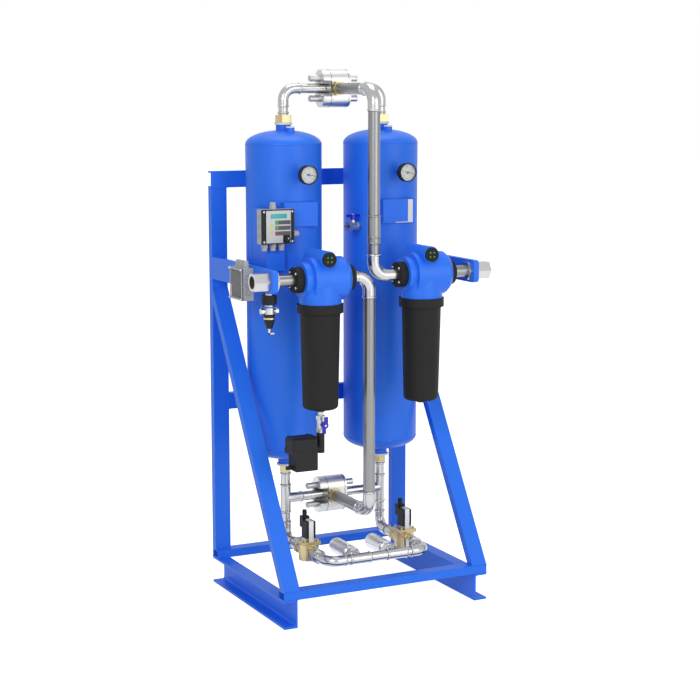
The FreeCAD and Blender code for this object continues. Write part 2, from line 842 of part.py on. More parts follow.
# Brass nipples and sealing rings on the four nozzles and the two front valve ports.
def nipple(name, flats, length, spigot, x, y, z, direction):
    """A hexagon with a round spigot behind it; z, y, x mark the face the ring or body seats on."""
    head = hexagon(name + "_hex", flats, length, x, y, z, direction)
    tail = rod(name + "_tail", "dims.nozzle_bore - 2 * dims.fit_gap", spigot, x, y, z,
               direction.negative())
    hole = rod(name + "_hole", "dims.nipple_bore", length, x, y, z, direction)
    hole_tail = rod(name + "_hole_tail", "dims.nipple_bore", spigot, x, y, z, direction.negative())
    return cut(name, fuse(name + "_solid", head, tail), hole, hole_tail)


nipples = []
rings = []
for side, x in (("left", "at.tower_left"), ("right", "at.tower_right")):
    nipples.append(nipple(side + "_high_nipple", "dims.nipple_high_flats", "dims.nipple_high_length",
                          "dims.nipple_spigot + dims.ring_thick", x, "at.tower_line",
                          "at.nipple_high_low", Z))
    nipples.append(nipple(side + "_low_nipple", "dims.nipple_low_flats", "dims.nipple_low_length",
                          "dims.nipple_spigot + dims.ring_thick", x, "at.tower_line",
                          "at.nipple_low_high", Z.negative()))
    rings.append(tube(side + "_high_ring", "dims.ring_dia", "dims.nozzle_bore", "dims.ring_thick", x,
                      "at.tower_line", "at.nozzle_high"))
    rings.append(tube(side + "_low_ring", "dims.ring_dia", "dims.nozzle_bore", "dims.ring_thick", x,
                      "at.tower_line", "at.nipple_low_high"))
for name, x, z in (("upper", "at.upper_x", "at.top_line"), ("lower", "at.lower_x", "at.bottom_line")):
    nipples.append(nipple(name + "_front_nipple", "dims.front_nipple_flats", "dims.front_nipple_length",
                          "dims.front_nipple_spigot", x, "at.valve_front", z, Y.negative()))
node(group("nipple_set", *nipples), "brass_nipples")
node(group("ring_set", *rings), "nozzle_rings")


# Pressure gauges: case with stem, dial, window and a pointer on a pivot.
def gauge_case(name, x):
    level = "at.gauge_level"
    case = rod(name + "_case", "dims.gauge_dia", "dims.gauge_depth", x, "at.gauge_front", level, Y)
    stem = rod(name + "_stem", "dims.gauge_stem_dia",
               "at.gauge_boss_front + dims.tower_wall - at.gauge_back", x, "at.gauge_back", level, Y)
    hex_part = hexagon(name + "_hex", "dims.gauge_flats", "dims.gauge_hex", x,
                       "at.gauge_boss_front - dims.gauge_hex", level, Y)
    recess = rod(name + "_recess", "dims.gauge_dia - 2 * dims.gauge_rim", "dims.gauge_recess", x,
                 "at.gauge_front", level, Y)
    pivot = rod(name + "_pivot", "dims.pivot_dia + 2 * dims.run_gap", "dims.gauge_recess", x,
                "at.gauge_front + dims.gauge_recess", level, Y)
    return cut(name, fuse(name + "_solid", case, stem, hex_part), recess, pivot)


pointer_blank = fuse(
    "pointer_blank",
    box("pointer_arm", "dims.pointer_width", "dims.pointer_thick",
        "dims.pointer_length + dims.pointer_tail", "-dims.pointer_width / 2", "0",
        "-dims.pointer_tail"),
    rod("pointer_hub", "dims.pointer_hub_dia", "dims.pointer_thick", "0", "0", "0", Y),
    rod("pointer_pin", "dims.pivot_dia", "dims.gauge_recess", "0", "0", "0", Y))


def pointer(name, x):
    """The pointer rests at a working pressure, well past the top of the dial."""
    return copy_of(name, pointer_blank, x, "at.dial_front - 2 * dims.pointer_thick", "at.gauge_level",
                   Rotation(Y, value("pointer_turn")))


cases, dials, windows = [], [], []
for side, x in (("left", "at.tower_left"), ("right", "at.tower_right")):
    cases.append(gauge_case(side + "_gauge", x))
    dials.append(tube(side + "_dial", "dims.gauge_dia - 2 * dims.gauge_rim - 2 * dims.fit_gap",
                      "dims.pivot_dia + 2 * dims.run_gap", "dims.dial_thick", x, "at.dial_front",
                      "at.gauge_level", Y))
    windows.append(rod(side + "_window", "dims.gauge_dia - 2 * dims.gauge_rim - 2 * dims.fit_gap",
                       "dims.window_thick", x, "at.gauge_front", "at.gauge_level", Y))
    node(pointer(side + "_pointer", x), "pointer_" + side)
node(group("case_pair", *cases), "gauge_cases")
node(group("dial_pair", *dials), "gauge_dials")
node(group("window_pair", *windows), "gauge_windows")


# Shuttle valves: a stadium-shaped body with two end caps on tie bolts and a free puck between
# its seats. The left cap is slotted to the front, where the pipe enters the body.
def stadium(name, x_start, length, x, z):
    radius_lift = "(dims.valve_height - dims.valve_width) / 2"
    start = "%s + %s" % (x, x_start)
    return fuse(name,
                box(name + "_flat", length, "dims.valve_width", "2 * " + radius_lift, start,
                    "at.valve_front", "%s - %s" % (z, radius_lift)),
                rod(name + "_top", "dims.valve_width", length, start, "at.tower_line",
                    "%s + %s" % (z, radius_lift), X),
                rod(name + "_low", "dims.valve_width", length, start, "at.tower_line",
                    "%s - %s" % (z, radius_lift), X))


def tie_holes(name, x, z):
    return [
        rod("%s_tie%d" % (name, i), "dims.tie_dia + 2 * dims.fit_gap",
            "dims.valve_left + dims.valve_right", x + " - dims.valve_left", "at.tower_line",
            "%s %s dims.tie_pitch / 2" % (z, side), X)
        for i, side in enumerate("-+")
    ]


def valve_body(name, x, z):
    right_face = "dims.valve_right - dims.valve_cap_thick"
    solid = stadium(name + "_block", "-dims.valve_port_face", "dims.valve_port_face + " + right_face, x, z)
    inlet = rod(name + "_inlet", "dims.valve_bore", "dims.valve_port_face",
                x + " - dims.valve_port_face", "at.tower_line", z, X)
    chamber = rod(name + "_chamber", "dims.chamber_dia", "dims.chamber_half + " + right_face,
                  x + " - dims.chamber_half", "at.tower_line", z, X)
    outlet = rod(name + "_outlet", "dims.nozzle_bore", "dims.valve_width / 2", x, "at.valve_front", z, Y)
    return cut(name, solid, inlet, chamber, outlet, *tie_holes(name, x, z))


def left_cap(name, x, z):
    solid = stadium(name + "_block", "-dims.valve_left", "dims.valve_left - dims.valve_port_face", x, z)
    slot = box(name + "_slot", "dims.valve_left - dims.valve_port_face",
               "dims.valve_width / 2 + dims.valve_slot_back", "dims.valve_slot",
               x + " - dims.valve_left", "at.valve_front", z + " - dims.valve_slot / 2")
    return cut(name, solid, slot, *tie_holes(name, x, z))


def right_cap(name, x, z):
    """An end cap with the sleeve that forms the right seat."""
    solid = stadium(name + "_block", "dims.valve_right - dims.valve_cap_thick", "dims.valve_cap_thick",
                    x, z)
    sleeve = rod(name + "_sleeve", "dims.chamber_dia - 2 * dims.fit_gap",
                 "dims.valve_right - dims.chamber_half", x + " + dims.chamber_half",
                 "at.tower_line", z, X)
    hole = rod(name + "_hole", "dims.valve_bore", "dims.valve_right - dims.chamber_half",
               x + " + dims.chamber_half", "at.tower_line", z, X)
    return cut(name, fuse(name + "_solid", solid, sleeve), hole, *tie_holes(name, x, z))


def shuttle(name, x, z):
    nose_length = "dims.puck_thick + 2 * dims.puck_nose"
    return fuse(name,
                rod(name + "_puck", "dims.chamber_dia - 2 * dims.run_gap", "dims.puck_thick",
                    x + " - dims.puck_thick / 2", "at.tower_line", z, X),
                rod(name + "_nose", "dims.puck_nose_dia", nose_length,
                    x + " - dims.puck_thick / 2 - dims.puck_nose", "at.tower_line", z, X))


def tie_bolt(name, x, z):
    length = "dims.valve_left + dims.valve_right + 2 * dims.tie_sleeve_length"
    return fuse(name,
                rod(name + "_shank", "dims.tie_dia", length,
                    x + " - dims.valve_left - dims.tie_sleeve_length", "at.tower_line", z, X),
                rod(name + "_left", "dims.tie_sleeve_dia", "dims.tie_sleeve_length",
                    x + " - dims.valve_left - dims.tie_sleeve_length", "at.tower_line", z, X),
                rod(name + "_right", "dims.tie_sleeve_dia", "dims.tie_sleeve_length",
                    x + " + dims.valve_right", "at.tower_line", z, X))


valve_blocks, caps, ties = [], [], []
for name, x, z in (("top", "at.upper_x", "at.top_line"), ("bottom", "at.lower_x", "at.bottom_line")):
    valve_blocks.append(valve_body(name + "_valve", x, z))
    caps.append(left_cap(name + "_left_cap", x, z))
    caps.append(right_cap(name + "_right_cap", x, z))
    node(shuttle(name + "_shuttle", x, z), "shuttle_" + name)
    for side in "-+":
        ties.append(tie_bolt("%s_tie_bolt%d" % (name, len(ties)), x,
                             "%s %s dims.tie_pitch / 2" % (z, side)))
node(group("valve_pair", *valve_blocks), "valve_bodies")
node(group("cap_set", *caps), "valve_caps")
node(group("tie_set", *ties), "valve_tie_bolts")


# Press-fitted stainless piping. A fitting has a bead at each end and a socket for the pipe.
def press_elbow(name, pipe, fitting, bend, leg_x, leg_y, plain=False):
    """A quarter bend with its corner at the origin and its legs along +X and +Y.

    A plain elbow has a straight pipe end on its Y leg in place of a socket.
    """
    quarter = []
    for kind, radius in (("skin", fitting), ("room", pipe + " / 2 - dims.pipe_wall")):
        arc = doc.addObject("Part::Torus", "%s_%s_arc" % (name, kind))
        arc.setExpression("Radius1", bend)
        arc.setExpression("Radius2", radius)
        arc.Angle3 = 90
        place(arc, bend, bend, "0", Rotation(Z, 180))
        quarter.append([
            arc,
            rod("%s_%s_x" % (name, kind), "2 * (%s)" % radius, leg_x + " - " + bend, bend, "0", "0", X),
            rod("%s_%s_y" % (name, kind), pipe if plain and kind == "skin" else "2 * (%s)" % radius,
                "%s - %s" % (leg_y, bend), "0", bend, "0", Y),
        ])
    skin, room = quarter
    skin.append(bead(name + "_bead_x", fitting, leg_x + " - dims.bead_width / 2", "0", "0", X))
    socket = pipe + " + 2 * dims.fit_gap"
    room.append(rod(name + "_socket_x", socket, "dims.socket_depth", leg_x + " - dims.socket_depth",
                    "0", "0", X))
    if not plain:
        skin.append(bead(name + "_bead_y", fitting, "0", leg_y + " - dims.bead_width / 2", "0", Y))
        room.append(rod(name + "_socket_y", socket, "dims.socket_depth", "0",
                        leg_y + " - dims.socket_depth", "0", Y))
    return cut(name, fuse(name + "_skin", *skin), fuse(name + "_room", *room))


def press_tee(name, pipe, fitting, leg, branch):
    """A tee with its run along X and its branch along +Y."""
    skin = [
        rod(name + "_run", "2 * " + fitting, "2 * " + leg, "-" + leg, "0", "0", X),
        rod(name + "_branch", "2 * " + fitting, branch, "0", "0", "0", Y),
        bead(name + "_bead_low", fitting, "-%s + dims.bead_width / 2" % leg, "0", "0", X),
        bead(name + "_bead_high", fitting, leg + " - dims.bead_width / 2", "0", "0", X),
        bead(name + "_bead_branch", fitting, "0", branch + " - dims.bead_width / 2", "0", Y),
    ]
    inner = pipe + " - 2 * dims.pipe_wall"
    socket = pipe + " + 2 * dims.fit_gap"
    room = [
        rod(name + "_run_room", inner, "2 * " + leg, "-" + leg, "0", "0", X),
        rod(name + "_branch_room", inner, branch, "0", "0", "0", Y),
        rod(name + "_socket_low", socket, "dims.socket_depth / 2", "-" + leg, "0", "0", X),
        rod(name + "_socket_high", socket, "dims.socket_depth / 2", leg + " - dims.socket_depth / 2",
            "0", "0", X),
        rod(name + "_socket_branch", socket, "dims.socket_depth / 2", "0",
            branch + " - dims.socket_depth / 2", "0", Y),
    ]
    return cut(name, fuse(name + "_skin", *skin), fuse(name + "_rooms", *room))


def facing(first, second):
    """Turns a fitting's X leg to the first direction and its Y leg to the second."""
    return Rotation(first, second, first.cross(second), "XYZ")


small_elbow = press_elbow("small_elbow", "dims.small_pipe", "at.small_fitting", "dims.small_bend",
                          "dims.small_leg", "dims.small_leg")
large_elbow = press_elbow("large_elbow", "dims.large_pipe", "at.large_fitting", "dims.large_bend",
                          "dims.large_leg", "dims.large_leg")
after_elbow = press_elbow(
    "after_elbow", "dims.large_pipe", "at.large_fitting", "dims.large_bend", "dims.large_leg",
    "(at.after_x - at.flange_in + dims.flange_socket - at.upper_x)", True)
pre_elbow = press_elbow(
    "pre_elbow", "dims.large_pipe", "at.large_fitting", "dims.large_bend", "dims.large_leg",
    "(at.lower_x - at.pre_x - at.flange_out + dims.flange_socket)", True)
riser_tee = press_tee("riser_tee", "dims.small_pipe", "at.small_fitting", "dims.riser_tee_leg",
                      "dims.riser_tee_branch")
manifold_tee = press_tee("manifold_tee", "dims.small_pipe", "at.small_fitting",
                         "dims.manifold_tee_leg", "dims.manifold_tee_branch")
DOWN, LEFT, FRONT = Z.negative(), X.negative(), Y.negative()


def small_tube(name, length, x, y, z, direction):
    return tube(name, "dims.small_pipe", "dims.small_pipe - 2 * dims.pipe_wall", length, x, y, z,
                direction)


def large_tube(name, length, x, y, z, direction):
    return tube(name, "dims.large_pipe", "dims.large_pipe - 2 * dims.pipe_wall", length, x, y, z,
                direction)


node(group(
    "tower_elbow_set",
    copy_of("elbow_top_left", small_elbow, "at.tower_left", "at.tower_line", "at.top_line",
            facing(DOWN, X)),
    copy_of("elbow_top_right", small_elbow, "at.tower_right", "at.tower_line", "at.top_line",
            facing(DOWN, LEFT)),
    copy_of("elbow_exhaust_left", small_elbow, "at.tower_left", "at.tower_line",
            "at.exhaust_line", facing(Z, FRONT)),
    copy_of("elbow_exhaust_right", small_elbow, "at.tower_right", "at.tower_line",
            "at.exhaust_line", facing(Z, FRONT)),
), "tower_elbows")

node(group(
    "main_elbow_set",
    copy_of("elbow_front_top", large_elbow, "at.upper_x", "at.filter_line", "at.top_line",
            facing(Y, DOWN)),
    copy_of("elbow_after_inlet", after_elbow, "at.upper_x", "at.filter_line", "dims.port_level",
            facing(Z, X)),
    copy_of("elbow_pre_outlet", pre_elbow, "at.lower_x", "at.filter_line", "dims.port_level",
            facing(DOWN, LEFT)),
    copy_of("elbow_valve_feed", large_elbow, "at.lower_x", "at.filter_line", "at.bottom_line",
            facing(Z, Y)),
), "main_elbows")

node(group(
    "riser_tee_set",
    copy_of("riser_tee_left", riser_tee, "at.tower_left", "at.tower_line", "at.bottom_line",
            facing(Z, X)),
    copy_of("riser_tee_right", riser_tee, "at.tower_right", "at.tower_line", "at.bottom_line",
            facing(Z, LEFT)),
), "riser_tees")

# Straight runs of the large pipe, from the ports through the filters to both shuttle valves.
riser_low = "dims.port_level + dims.large_leg - dims.socket_depth"
riser_length = "at.top_line - dims.port_level - 2 * dims.large_leg + 2 * dims.socket_depth"
drop_low = "at.bottom_line + dims.large_leg - dims.socket_depth"
drop_length = "dims.port_level - at.bottom_line - 2 * dims.large_leg + 2 * dims.socket_depth"
feed_end = "at.filter_line + dims.large_leg - dims.socket_depth"
feed_length = "at.front_nipple_end - (at.filter_line + dims.large_leg - dims.socket_depth)"
port_inner = "dims.frame_width / 2 - dims.arm_thick"
coupling = fuse(
    "coupling_skin",
    rod("coupling_rod", "2 * at.large_fitting", "dims.coupling_length", "at.upper_x",
        "at.filter_line", "at.coupling_low"),
    bead("coupling_bead_low", "at.large_fitting", "at.upper_x", "at.filter_line",
         "at.coupling_low + dims.bead_width / 2"),
    bead("coupling_bead_mid", "at.large_fitting", "at.upper_x", "at.filter_line",
         "at.coupling_low + dims.socket_depth"),
    bead("coupling_bead_high", "at.large_fitting", "at.upper_x", "at.filter_line",
         "at.coupling_low + dims.coupling_length - dims.bead_width / 2"))
node(group(
    "main_pipe_set",
    large_tube("riser_pipe", riser_length, "at.upper_x", "at.filter_line", riser_low, Z),
    cut("coupling", coupling,
        rod("coupling_room", "dims.large_pipe + 2 * dims.fit_gap", "dims.coupling_length",
            "at.upper_x", "at.filter_line", "at.coupling_low")),
    large_tube("drop_pipe", drop_length, "at.lower_x", "at.filter_line", drop_low, Z),
    large_tube("upper_feed", feed_length, "at.upper_x", feed_end, "at.top_line", Y),
    large_tube("lower_feed", feed_length, "at.lower_x", feed_end, "at.bottom_line", Y),
    large_tube("inlet_pipe",
               "at.pre_x - at.flange_in + dims.flange_socket + %s" % port_inner,
               "-(%s)" % port_inner, "at.filter_line", "dims.port_level", X),
    large_tube("outlet_pipe",
               "%s - (at.after_x + at.flange_out - dims.flange_socket)" % port_inner,
               "at.after_x + at.flange_out - dims.flange_socket", "at.filter_line",
               "dims.port_level", X),
), "main_pipes")


# Straight runs of the small pipe, between the towers, the shuttle valves and the exhaust.
def adaptor(name, x, z, length, direction):
    """A threaded adaptor between a brass nipple and the first fitting."""
    mark = "%s %s dims.bead_width" % (z, "+" if direction.z > 0 else "-")
    return cut(name,
               fuse(name + "_skin",
                    rod(name + "_rod", "dims.small_pipe", length, x, "at.tower_line", z, direction),
                    bead(name + "_bead", "at.small_fitting", x, "at.tower_line", mark)),
               rod(name + "_room", "dims.small_pipe - 2 * dims.pipe_wall", length, x,
                   "at.tower_line", z, direction))


top_reach = "at.top_line - dims.small_leg + dims.socket_depth - at.nipple_high_top"
low_reach = "at.nipple_low_low - (at.bottom_line + dims.riser_tee_leg - dims.socket_depth / 2)"
link_low = "at.exhaust_line + dims.small_leg - dims.socket_depth"
link_high = "at.bottom_line - dims.riser_tee_leg + dims.socket_depth / 2"
stub_y = "at.tower_line - dims.small_leg + dims.socket_depth"
tower_runs = []
for side, x in (("left", "at.tower_left"), ("right", "at.tower_right")):
    tower_runs += [
        adaptor(side + "_top_adaptor", x, "at.nipple_high_top", top_reach, Z),
        adaptor(side + "_low_adaptor", x, "at.nipple_low_low", low_reach, DOWN),
        small_tube(side + "_link", "%s - (%s)" % (link_high, link_low), x, "at.tower_line",
                   link_low, Z),
        small_tube(side + "_stub", "%s - at.solenoid_back" % stub_y, x, stub_y, "at.exhaust_line",
                   FRONT),
    ]
elbow_mouth = "(at.tower_right - dims.small_leg + dims.socket_depth)"
tee_mouth = "(at.tower_right - dims.riser_tee_branch + dims.socket_depth / 2)"
for name, x, z, mouth in (("top", "at.upper_x", "at.top_line", elbow_mouth),
                          ("low", "at.lower_x", "at.bottom_line", tee_mouth)):
    tower_runs.append(small_tube(name + "_left_run", "%s - dims.valve_port_face + %s" % (x, mouth),
                                 "-" + mouth, "at.tower_line", z, X))
    tower_runs.append(small_tube(name + "_right_run", "%s - (%s + dims.valve_right)" % (mouth, x),
                                 x + " + dims.valve_right", "at.tower_line", z, X))
node(group("tower_pipe_set", *tower_runs), "tower_pipes")


# Inlet and outlet sockets with an inside thread, held on the arms by locknuts.
def port_socket(name):
    length = "at.port_reach - dims.frame_width / 2"
    hex_part = hexagon(name + "_hex", "dims.port_flats", length, "-at.port_reach",
                       "at.filter_line", "dims.port_level", X, 30)
    spigot = rod(name + "_spigot", "dims.port_spigot", "dims.arm_thick + dims.locknut_thick",
                 "at.frame_left", "at.filter_line", "dims.port_level", X)
    thread = rod(name + "_thread", "dims.port_thread", "dims.port_thread_depth", "-at.port_reach",
                 "at.filter_line", "dims.port_level", X)
    way = rod(name + "_way", "dims.large_pipe - 2 * dims.pipe_wall", length + " + dims.arm_thick",
              "-at.port_reach", "at.filter_line", "dims.port_level", X)
    pipe_seat = rod(name + "_pipe_seat", "dims.large_pipe + 2 * dims.fit_gap", "dims.locknut_thick",
                    "at.frame_left + dims.arm_thick", "at.filter_line", "dims.port_level", X)
    return cut(name, fuse(name + "_solid", hex_part, spigot), thread, way, pipe_seat)


def locknut(name):
    x = "at.frame_left + dims.arm_thick"
    nut = hexagon(name + "_hex", "dims.locknut_flats", "dims.locknut_thick", x, "at.filter_line",
                  "dims.port_level", X, 30)
    hole = rod(name + "_hole", "dims.port_spigot + 2 * dims.fit_gap", "dims.locknut_thick", x,
               "at.filter_line", "dims.port_level", X)
    return cut(name, nut, hole)


inlet_socket = port_socket("inlet_socket")
inlet_nut = locknut("inlet_nut")
node(group("socket_set", inlet_socket, mirrored("outlet_socket", inlet_socket), inlet_nut,
           mirrored("outlet_nut", inlet_nut)), "port_sockets")


# Exhaust solenoid valves: brass body, coil with plug and strap, and the plunger in its tube.
def solenoid_body(name, x):
    line = "at.exhaust_line"
    back, front = "at.solenoid_back", "at.solenoid_front"
    solid = fuse(
        name + "_solid",
        rod(name + "_barrel", "dims.solenoid_barrel", "dims.solenoid_length", x, back, line, FRONT),
        hexagon(name + "_hex_back", "dims.solenoid_flats", "dims.solenoid_hex", x, back, line, FRONT, 30),
        hexagon(name + "_hex_front", "dims.solenoid_flats", "dims.solenoid_hex", x, front, line, Y, 30),
        rod(name + "_room_wall", "dims.chamber_body_dia", "at.chamber_high - at.chamber_low", x,
            "at.coil_line", "at.chamber_low"),
        box(name + "_bonnet", "dims.bonnet_width", "dims.bonnet_width", "dims.bonnet_thick",
            x + " - dims.bonnet_width / 2", "at.coil_line - dims.bonnet_width / 2",
            "at.chamber_high"),
        rod(name + "_core_tube", "dims.core_tube_dia", "at.core_tube_top - at.chamber_high", x,
            "at.coil_line", "at.chamber_high"),
        *[rod("%s_screw%d%d" % (name, i, j), "dims.bonnet_screw", "dims.bonnet_screw_length",
              "%s %s dims.bonnet_screw_pitch / 2" % (x, a),
              "at.coil_line %s dims.bonnet_screw_pitch / 2" % b,
              "at.chamber_high")
          for i, a in enumerate("-+") for j, b in enumerate("-+")])
    bore = rod(name + "_bore", "dims.small_pipe - 2 * dims.pipe_wall", "dims.solenoid_length", x, back,
               line, FRONT)
    core_room = rod(name + "_core_room", "dims.core_tube_dia - 2 * dims.core_wall",
                    "at.core_tube_top - dims.core_wall - at.exhaust_line", x, "at.coil_line", line)
    return cut(name, solid, bore, core_room)


def coil(name, x):
    """The encapsulated coil slides over the core tube."""
    block = box(name + "_block", "dims.coil_width", "dims.coil_depth", "dims.coil_height",
                x + " - dims.coil_width / 2", "at.coil_line - dims.coil_depth / 2", "at.coil_low")
    hole = rod(name + "_hole", "dims.core_tube_dia + 2 * dims.fit_gap", "dims.coil_height", x,
               "at.coil_line", "at.coil_low")
    return cut(name, block, hole)


def coil_strap(name, x):
    """The bent yoke strap in front of the coil, from the bonnet to the top nut."""
    front = "at.coil_line - dims.coil_depth / 2 - dims.coil_strap_thick"
    left = x + " - dims.coil_strap_width / 2"
    top = "at.coil_low + dims.coil_height"
    upright = box(name + "_upright", "dims.coil_strap_width", "dims.coil_strap_thick",
                  "dims.coil_height + at.coil_low - at.bonnet_top", left, front, "at.bonnet_top")
    shelf = box(name + "_shelf", "dims.coil_strap_width",
                "dims.coil_depth / 2 + dims.coil_strap_thick + dims.coil_strap_end",
                "dims.coil_strap_thick", left, front, top)
    foot_part = box(name + "_foot", "dims.coil_strap_width",
                    "dims.coil_depth / 2 + dims.coil_strap_thick - dims.core_tube_dia / 2 - dims.fit_gap",
                    "dims.coil_strap_thick", left, front, "at.bonnet_top")
    hole = rod(name + "_hole", "dims.core_tube_dia + 2 * dims.fit_gap", "dims.coil_strap_thick", x,
               "at.coil_line", top)
    return cut(name, fuse(name + "_solid", upright, shelf, foot_part), hole)


def din_plug(name, x):
    back = "at.coil_line + dims.coil_depth / 2"
    return fuse(name,
                box(name + "_case", "dims.din_width", "dims.din_depth", "dims.din_height",
                    x + " - dims.din_width / 2", back, "at.din_low"),
                rod(name + "_gland", "dims.din_gland_dia", "dims.din_gland_height", x,
                    back + " + dims.din_depth / 2", "at.din_low + dims.din_height"))


def plunger(name, x):
    return rod(name, "dims.core_tube_dia - 2 * dims.core_wall - 2 * dims.run_gap",
               "dims.plunger_length", x, "at.coil_line", "at.plunger_low")


def union(name, x):
    """A union between the valve's front port and the manifold bend."""
    front = "at.solenoid_front"
    length = "at.solenoid_front - at.manifold_leg_end"
    solid = fuse(
        name + "_solid",
        rod(name + "_body", "dims.union_dia", length, x, front, "at.exhaust_line", FRONT),
        hexagon(name + "_nut", "dims.union_flats", "dims.union_nut", x,
                front + " - (%s - dims.union_nut) / 2" % length, "at.exhaust_line", FRONT, 30),
        rod(name + "_tail", "dims.small_pipe", length + " + dims.socket_depth", x, front,
            "at.exhaust_line", FRONT))
    return cut(name, solid, rod(name + "_bore", "dims.small_pipe - 2 * dims.pipe_wall",
                                length + " + dims.socket_depth", x, front, "at.exhaust_line", FRONT))


solenoids, coils, straps, din_plugs, unions = [], [], [], [], []
for side, x in (("left", "at.tower_left"), ("right", "at.tower_right")):
    solenoids.append(solenoid_body(side + "_solenoid", x))
    coils.append(coil(side + "_coil", x))
    straps.append(coil_strap(side + "_strap", x))
    din_plugs.append(din_plug(side + "_din", x))
    unions.append(union(side + "_union", x))
    node(plunger(side + "_plunger", x), "plunger_" + side)
node(group("solenoid_pair", *solenoids), "solenoid_bodies")
node(group("coil_pair", *coils), "solenoid_coils")
node(group("din_pair", *din_plugs), "coil_plugs")
node(group("union_pair", *unions), "exhaust_unions")

# Exhaust manifold: two bends and two tees on one line in front, with pipes between them.
bend_mouth = "(at.tower_right - dims.small_leg + dims.socket_depth)"
outer_mouth = "(dims.silencer_pitch / 2 + dims.manifold_tee_leg - dims.socket_depth / 2)"
inner_mouth = "(dims.silencer_pitch / 2 - dims.manifold_tee_leg + dims.socket_depth / 2)"
node(group(
    "manifold",
    copy_of("manifold_bend_left", small_elbow, "at.tower_left", "at.manifold_line",
            "at.exhaust_line", facing(X, Y)),
    copy_of("manifold_bend_right", small_elbow, "at.tower_right", "at.manifold_line",
            "at.exhaust_line", facing(Y, LEFT)),
    copy_of("manifold_tee_left", manifold_tee, "at.tee_left", "at.manifold_line",
            "at.exhaust_line"),
    copy_of("manifold_tee_right", manifold_tee, "at.tee_right", "at.manifold_line",
            "at.exhaust_line"),
    small_tube("manifold_pipe_left", bend_mouth + " - " + outer_mouth, "-" + bend_mouth,
               "at.manifold_line", "at.exhaust_line", X),
    small_tube("manifold_pipe_middle", "2 * " + inner_mouth, "-" + inner_mouth, "at.manifold_line",
               "at.exhaust_line", X),
    small_tube("manifold_pipe_right", bend_mouth + " - " + outer_mouth, outer_mouth,
               "at.manifold_line", "at.exhaust_line", X),
), "exhaust_manifold")


# Exhaust silencers, screwed into the tees and pointing to the back: a turned case with round
# ends on a hexagonal foot. The case is made along Z and laid down.
silencer_case = turned("silencer_case", [
    ("dims.silencer_bore / 2", "0"),
    ("dims.silencer_dia / 2", "0"),
    ("dims.silencer_dia / 2", "dims.silencer_length"),
    ("0", "dims.silencer_length"),
    ("0", "dims.silencer_length - dims.silencer_wall"),
    ("dims.silencer_dia / 2 - dims.silencer_wall", "dims.silencer_length - dims.silencer_wall"),
    ("dims.silencer_dia / 2 - dims.silencer_wall", "dims.silencer_wall"),
    ("dims.silencer_bore / 2", "dims.silencer_wall"),
])
case_radius = value("silencer_dia") / 2
for radius, reach in (
        ("dims.silencer_round", case_radius),
        ("dims.silencer_round - dims.silencer_wall", case_radius - value("silencer_wall"))):
    rounded(silencer_case, radius,
            lambda middle, line: abs(Vector(middle.x, middle.y, 0).Length - reach) < 0.01,
            "Part::GeomCircle")


def silencer(name, x):
    line = "at.exhaust_line"
    start = "at.silencer_start"
    foot_part = fuse(
        name + "_foot",
        rod(name + "_tail", "dims.small_pipe", "dims.socket_depth / 2 + dims.silencer_hex", x,
            start + " - dims.socket_depth / 2", line, Y),
        hexagon(name + "_hex", "dims.silencer_hex_flats", "dims.silencer_hex", x, start, line, Y))
    way = rod(name + "_way", "dims.silencer_bore", "dims.silencer_hex + dims.socket_depth", x,
              start + " - dims.socket_depth / 2", line, Y)
    case = copy_of(name + "_case", silencer_case, x, start + " + dims.silencer_hex", line, along(Y))
    return fuse(name, cut(name + "_base", foot_part, way), case)


node(group("silencer_pair", silencer("left_silencer", "at.tee_left"),
           silencer("right_silencer", "at.tee_right")), "silencers")


# Filter heads: cast bodies with a stepped barrel, a neck for the bowl and the indicator's boss.
def filter_head(name, x):
    line, level = "at.filter_line", "dims.port_level"
    barrel_end = "dims.head_right - dims.head_round"
    solid = fuse(
        name + "_solid",
        rod(name + "_barrel", "dims.head_dia", "dims.head_left + " + barrel_end,
            x + " - dims.head_left", line, level, X),
        taper(name + "_nose", "dims.head_dia", "dims.head_nose_dia",
              "dims.head_round", "%s + %s" % (x, barrel_end), line, level, X),
        rod(name + "_step", "dims.head_step_dia", "dims.head_step", x + " - at.head_flange_left", line,
            level, X),
        rod(name + "_neck", "dims.neck_dia", level + " - at.neck_low", x, line, "at.neck_low"),
        rod(name + "_boss", "dims.indicator_boss_dia", "2 * dims.indicator_reach", x,
            line + " - dims.indicator_reach", level + " + dims.indicator_rise", Y))
    ports = rod(name + "_ports", "dims.port_bore", "dims.head_right + at.head_flange_left",
                x + " - at.head_flange_left", line, level, X)
    cavity = rod(name + "_cavity", "dims.neck_cavity_dia", "at.neck_cavity_top - at.neck_low", x,
                 line, "at.neck_low")
    seat_bore = rod(name + "_seat", "dims.element_seat", level + " - at.neck_low", x, line,
                    "at.neck_low")
    return cut(name, solid, ports, cavity, seat_bore)


node(group("head_pair", filter_head("pre_head", "at.pre_x"), filter_head("after_head", "at.after_x")),
     "filter_heads")


# Screw-in flanges on both sides of each head, with their socket for the pipe.
def filter_flange(name, x, direction):
    y, z = "at.filter_line", "dims.port_level"
    disc = rod(name + "_disc", "dims.flange_dia", "dims.flange_thick", x, y, z, direction)
    face = "%s %s dims.flange_thick" % (x, "+" if direction.x > 0 else "-")
    screws = [
        rod("%s_screw%d" % (name, i), "dims.flange_screw_dia", "dims.flange_screw_head", face,
            "%s + %s" % (y, across), "%s + %s" % (z, up), direction)
        for i, (across, up) in enumerate(spokes(4, 45, "dims.flange_screw_pcd"))
    ]
    hole = rod(name + "_hole", "dims.large_pipe - 2 * dims.pipe_wall", "dims.flange_thick", x, y, z,
               direction)
    socket = rod(name + "_socket", "dims.large_pipe + 2 * dims.fit_gap", "dims.flange_socket", face, y,
                 z, direction.negative())
    return cut(name, fuse(name + "_solid", disc, *screws), hole, socket)


